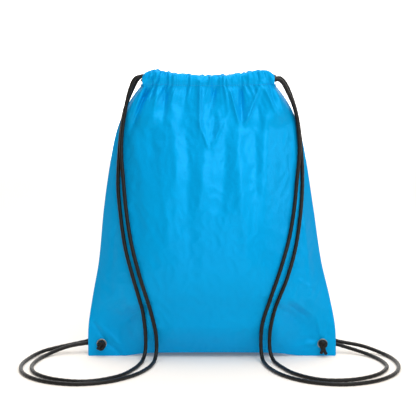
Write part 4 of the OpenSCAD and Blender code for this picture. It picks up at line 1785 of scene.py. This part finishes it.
@dataclass
class Studio:
    """Camera, lights and the pale floor."""

    camera_at: tuple[float, float, float] = (-0.00556, -1.8, 0.45)
    tilt: float = 7.94
    lens: float = 114.23
    sensor: float = 36
    view_end: float = 50
    # Each softbox's name, place, aim, size and power
    lamps: ClassVar[tuple] = (
        ("key", (0.75, -1.9, 1.6), (0, -0.03, 0.2), 0.95, 16.6),
        ("right", (1.7, -0.9, 0.9), (0.05, -0.03, 0.2), 0.8, 6),
        ("fill", (-1.7, -1.5, 0.9), (0, 0, 0.2), 1.6, 1.0),
        ("low", (0.1, -1.7, 0.3), (0, -0.03, 0.1), 0.9, 3.8),
        ("overhead", (0.0, -0.1, 2.4), (0, 0.1, 0), 2.8, 60),
    )
    floor_half: float = 4000
    wall_y: float = 2600
    wall_top: float = 3600

    def build(self) -> None:
        """Makes the camera, the lights, the floor and the bright wall behind."""
        scene = bpy.context.scene
        scene.view_settings.view_transform = "Standard"
        camera = bpy.data.objects.new("camera", bpy.data.cameras.new("camera"))
        camera.location = self.camera_at
        camera.rotation_euler = (math.radians(90 - self.tilt), 0, 0)
        camera.data.sensor_width = self.sensor
        camera.data.lens = self.lens
        camera.data.clip_end = self.view_end
        scene.collection.objects.link(camera)
        scene.camera = camera
        for lamp in self.lamps:
            self.area(*lamp)
        world = bpy.data.worlds.new("studio")
        scene.world = world
        world.use_nodes = True
        wire(world.node_tree.nodes["Background"], {0: (1, 1, 1, 1), 1: 0.22})
        self.floor()

    def area(self, name: str, place: Sequence[float], aim: Sequence[float], size: float,
             watts: float) -> None:
        """Adds one square softbox."""
        light = bpy.data.lights.new(name, "AREA")
        light.size = size
        light.energy = watts
        lamp = bpy.data.objects.new(name, light)
        lamp.location = place
        way = Vector(aim) - Vector(place)
        lamp.rotation_euler = way.to_track_quat("-Z", "Y").to_euler()
        bpy.context.scene.collection.objects.link(lamp)

    def floor(self) -> None:
        """Adds the pale floor and the lit wall far behind."""
        material, add, shader = new_material("matt_white_board")
        place = add("ShaderNodeTexCoord").outputs
        grain = add("ShaderNodeTexNoise", {"Scale": 400.0}, {"Vector": place["Object"]})
        colour = add(
            "ShaderNodeMix", {6: linear("#EDE4DA"), 7: linear("#F0E7DD")},
            {0: grain.outputs["Fac"]}, data_type="RGBA",
        )
        looks = {
            "Roughness": 0.9, "Specular IOR Level": 0.1, "Emission Color": (1, 1, 1, 1),
            "Emission Strength": 0.1,
        }
        wire(shader, looks, {"Base Color": colour.outputs[2]})
        w, far, high, low = self.floor_half, self.wall_y, self.wall_top, -10
        corners = [(-w, -w, 0), (w, -w, 0), (w, w, 0), (-w, w, 0)]
        board = mesh_piece("floor", corners, [[0, 1, 2, 3]], material)
        glow, _add, shader = new_material("lit_white_wall")
        looks = {
            "Base Color": linear("#FFFFFF"), "Emission Color": (1, 1, 1, 1),
            "Emission Strength": 1.0,
        }
        wire(shader, looks)
        corners = [(-w, far, low), (w, far, low), (w, far, high), (-w, far, high)]
        wall = mesh_piece("wall", corners, [[0, 1, 2, 3]], glow)


# ---------------------------------------------------------------- putting it together


def main() -> None:
    """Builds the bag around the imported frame."""
    logging.basicConfig(level=logging.INFO, format="%(message)s")
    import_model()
    Studio().build()
    form = BagForm()
    taffeta = Taffeta().make()
    thread = SewingThread().make()
    nickel = NickelPlate().make()
    braid = BraidedCord()
    cord = braid.make()
    gathers = {Face.FRONT: Gathers(7), Face.BACK: Gathers(23)}
    mouths = {face: MouthHem(face, form, taffeta, thread, gathers[face]) for face in Face}
    hems = {face: mouths[face].build() for face in Face}
    cloth = BodyCloth(form, taffeta, gathers, hems, mouths).build()
    RolledSeams(form, taffeta).build()
    for side in Side:
        Eyelet(side, nickel).build()
    StrapCords(form, cord, braid, cloth).build()


if __name__ == "__main__":
    main()
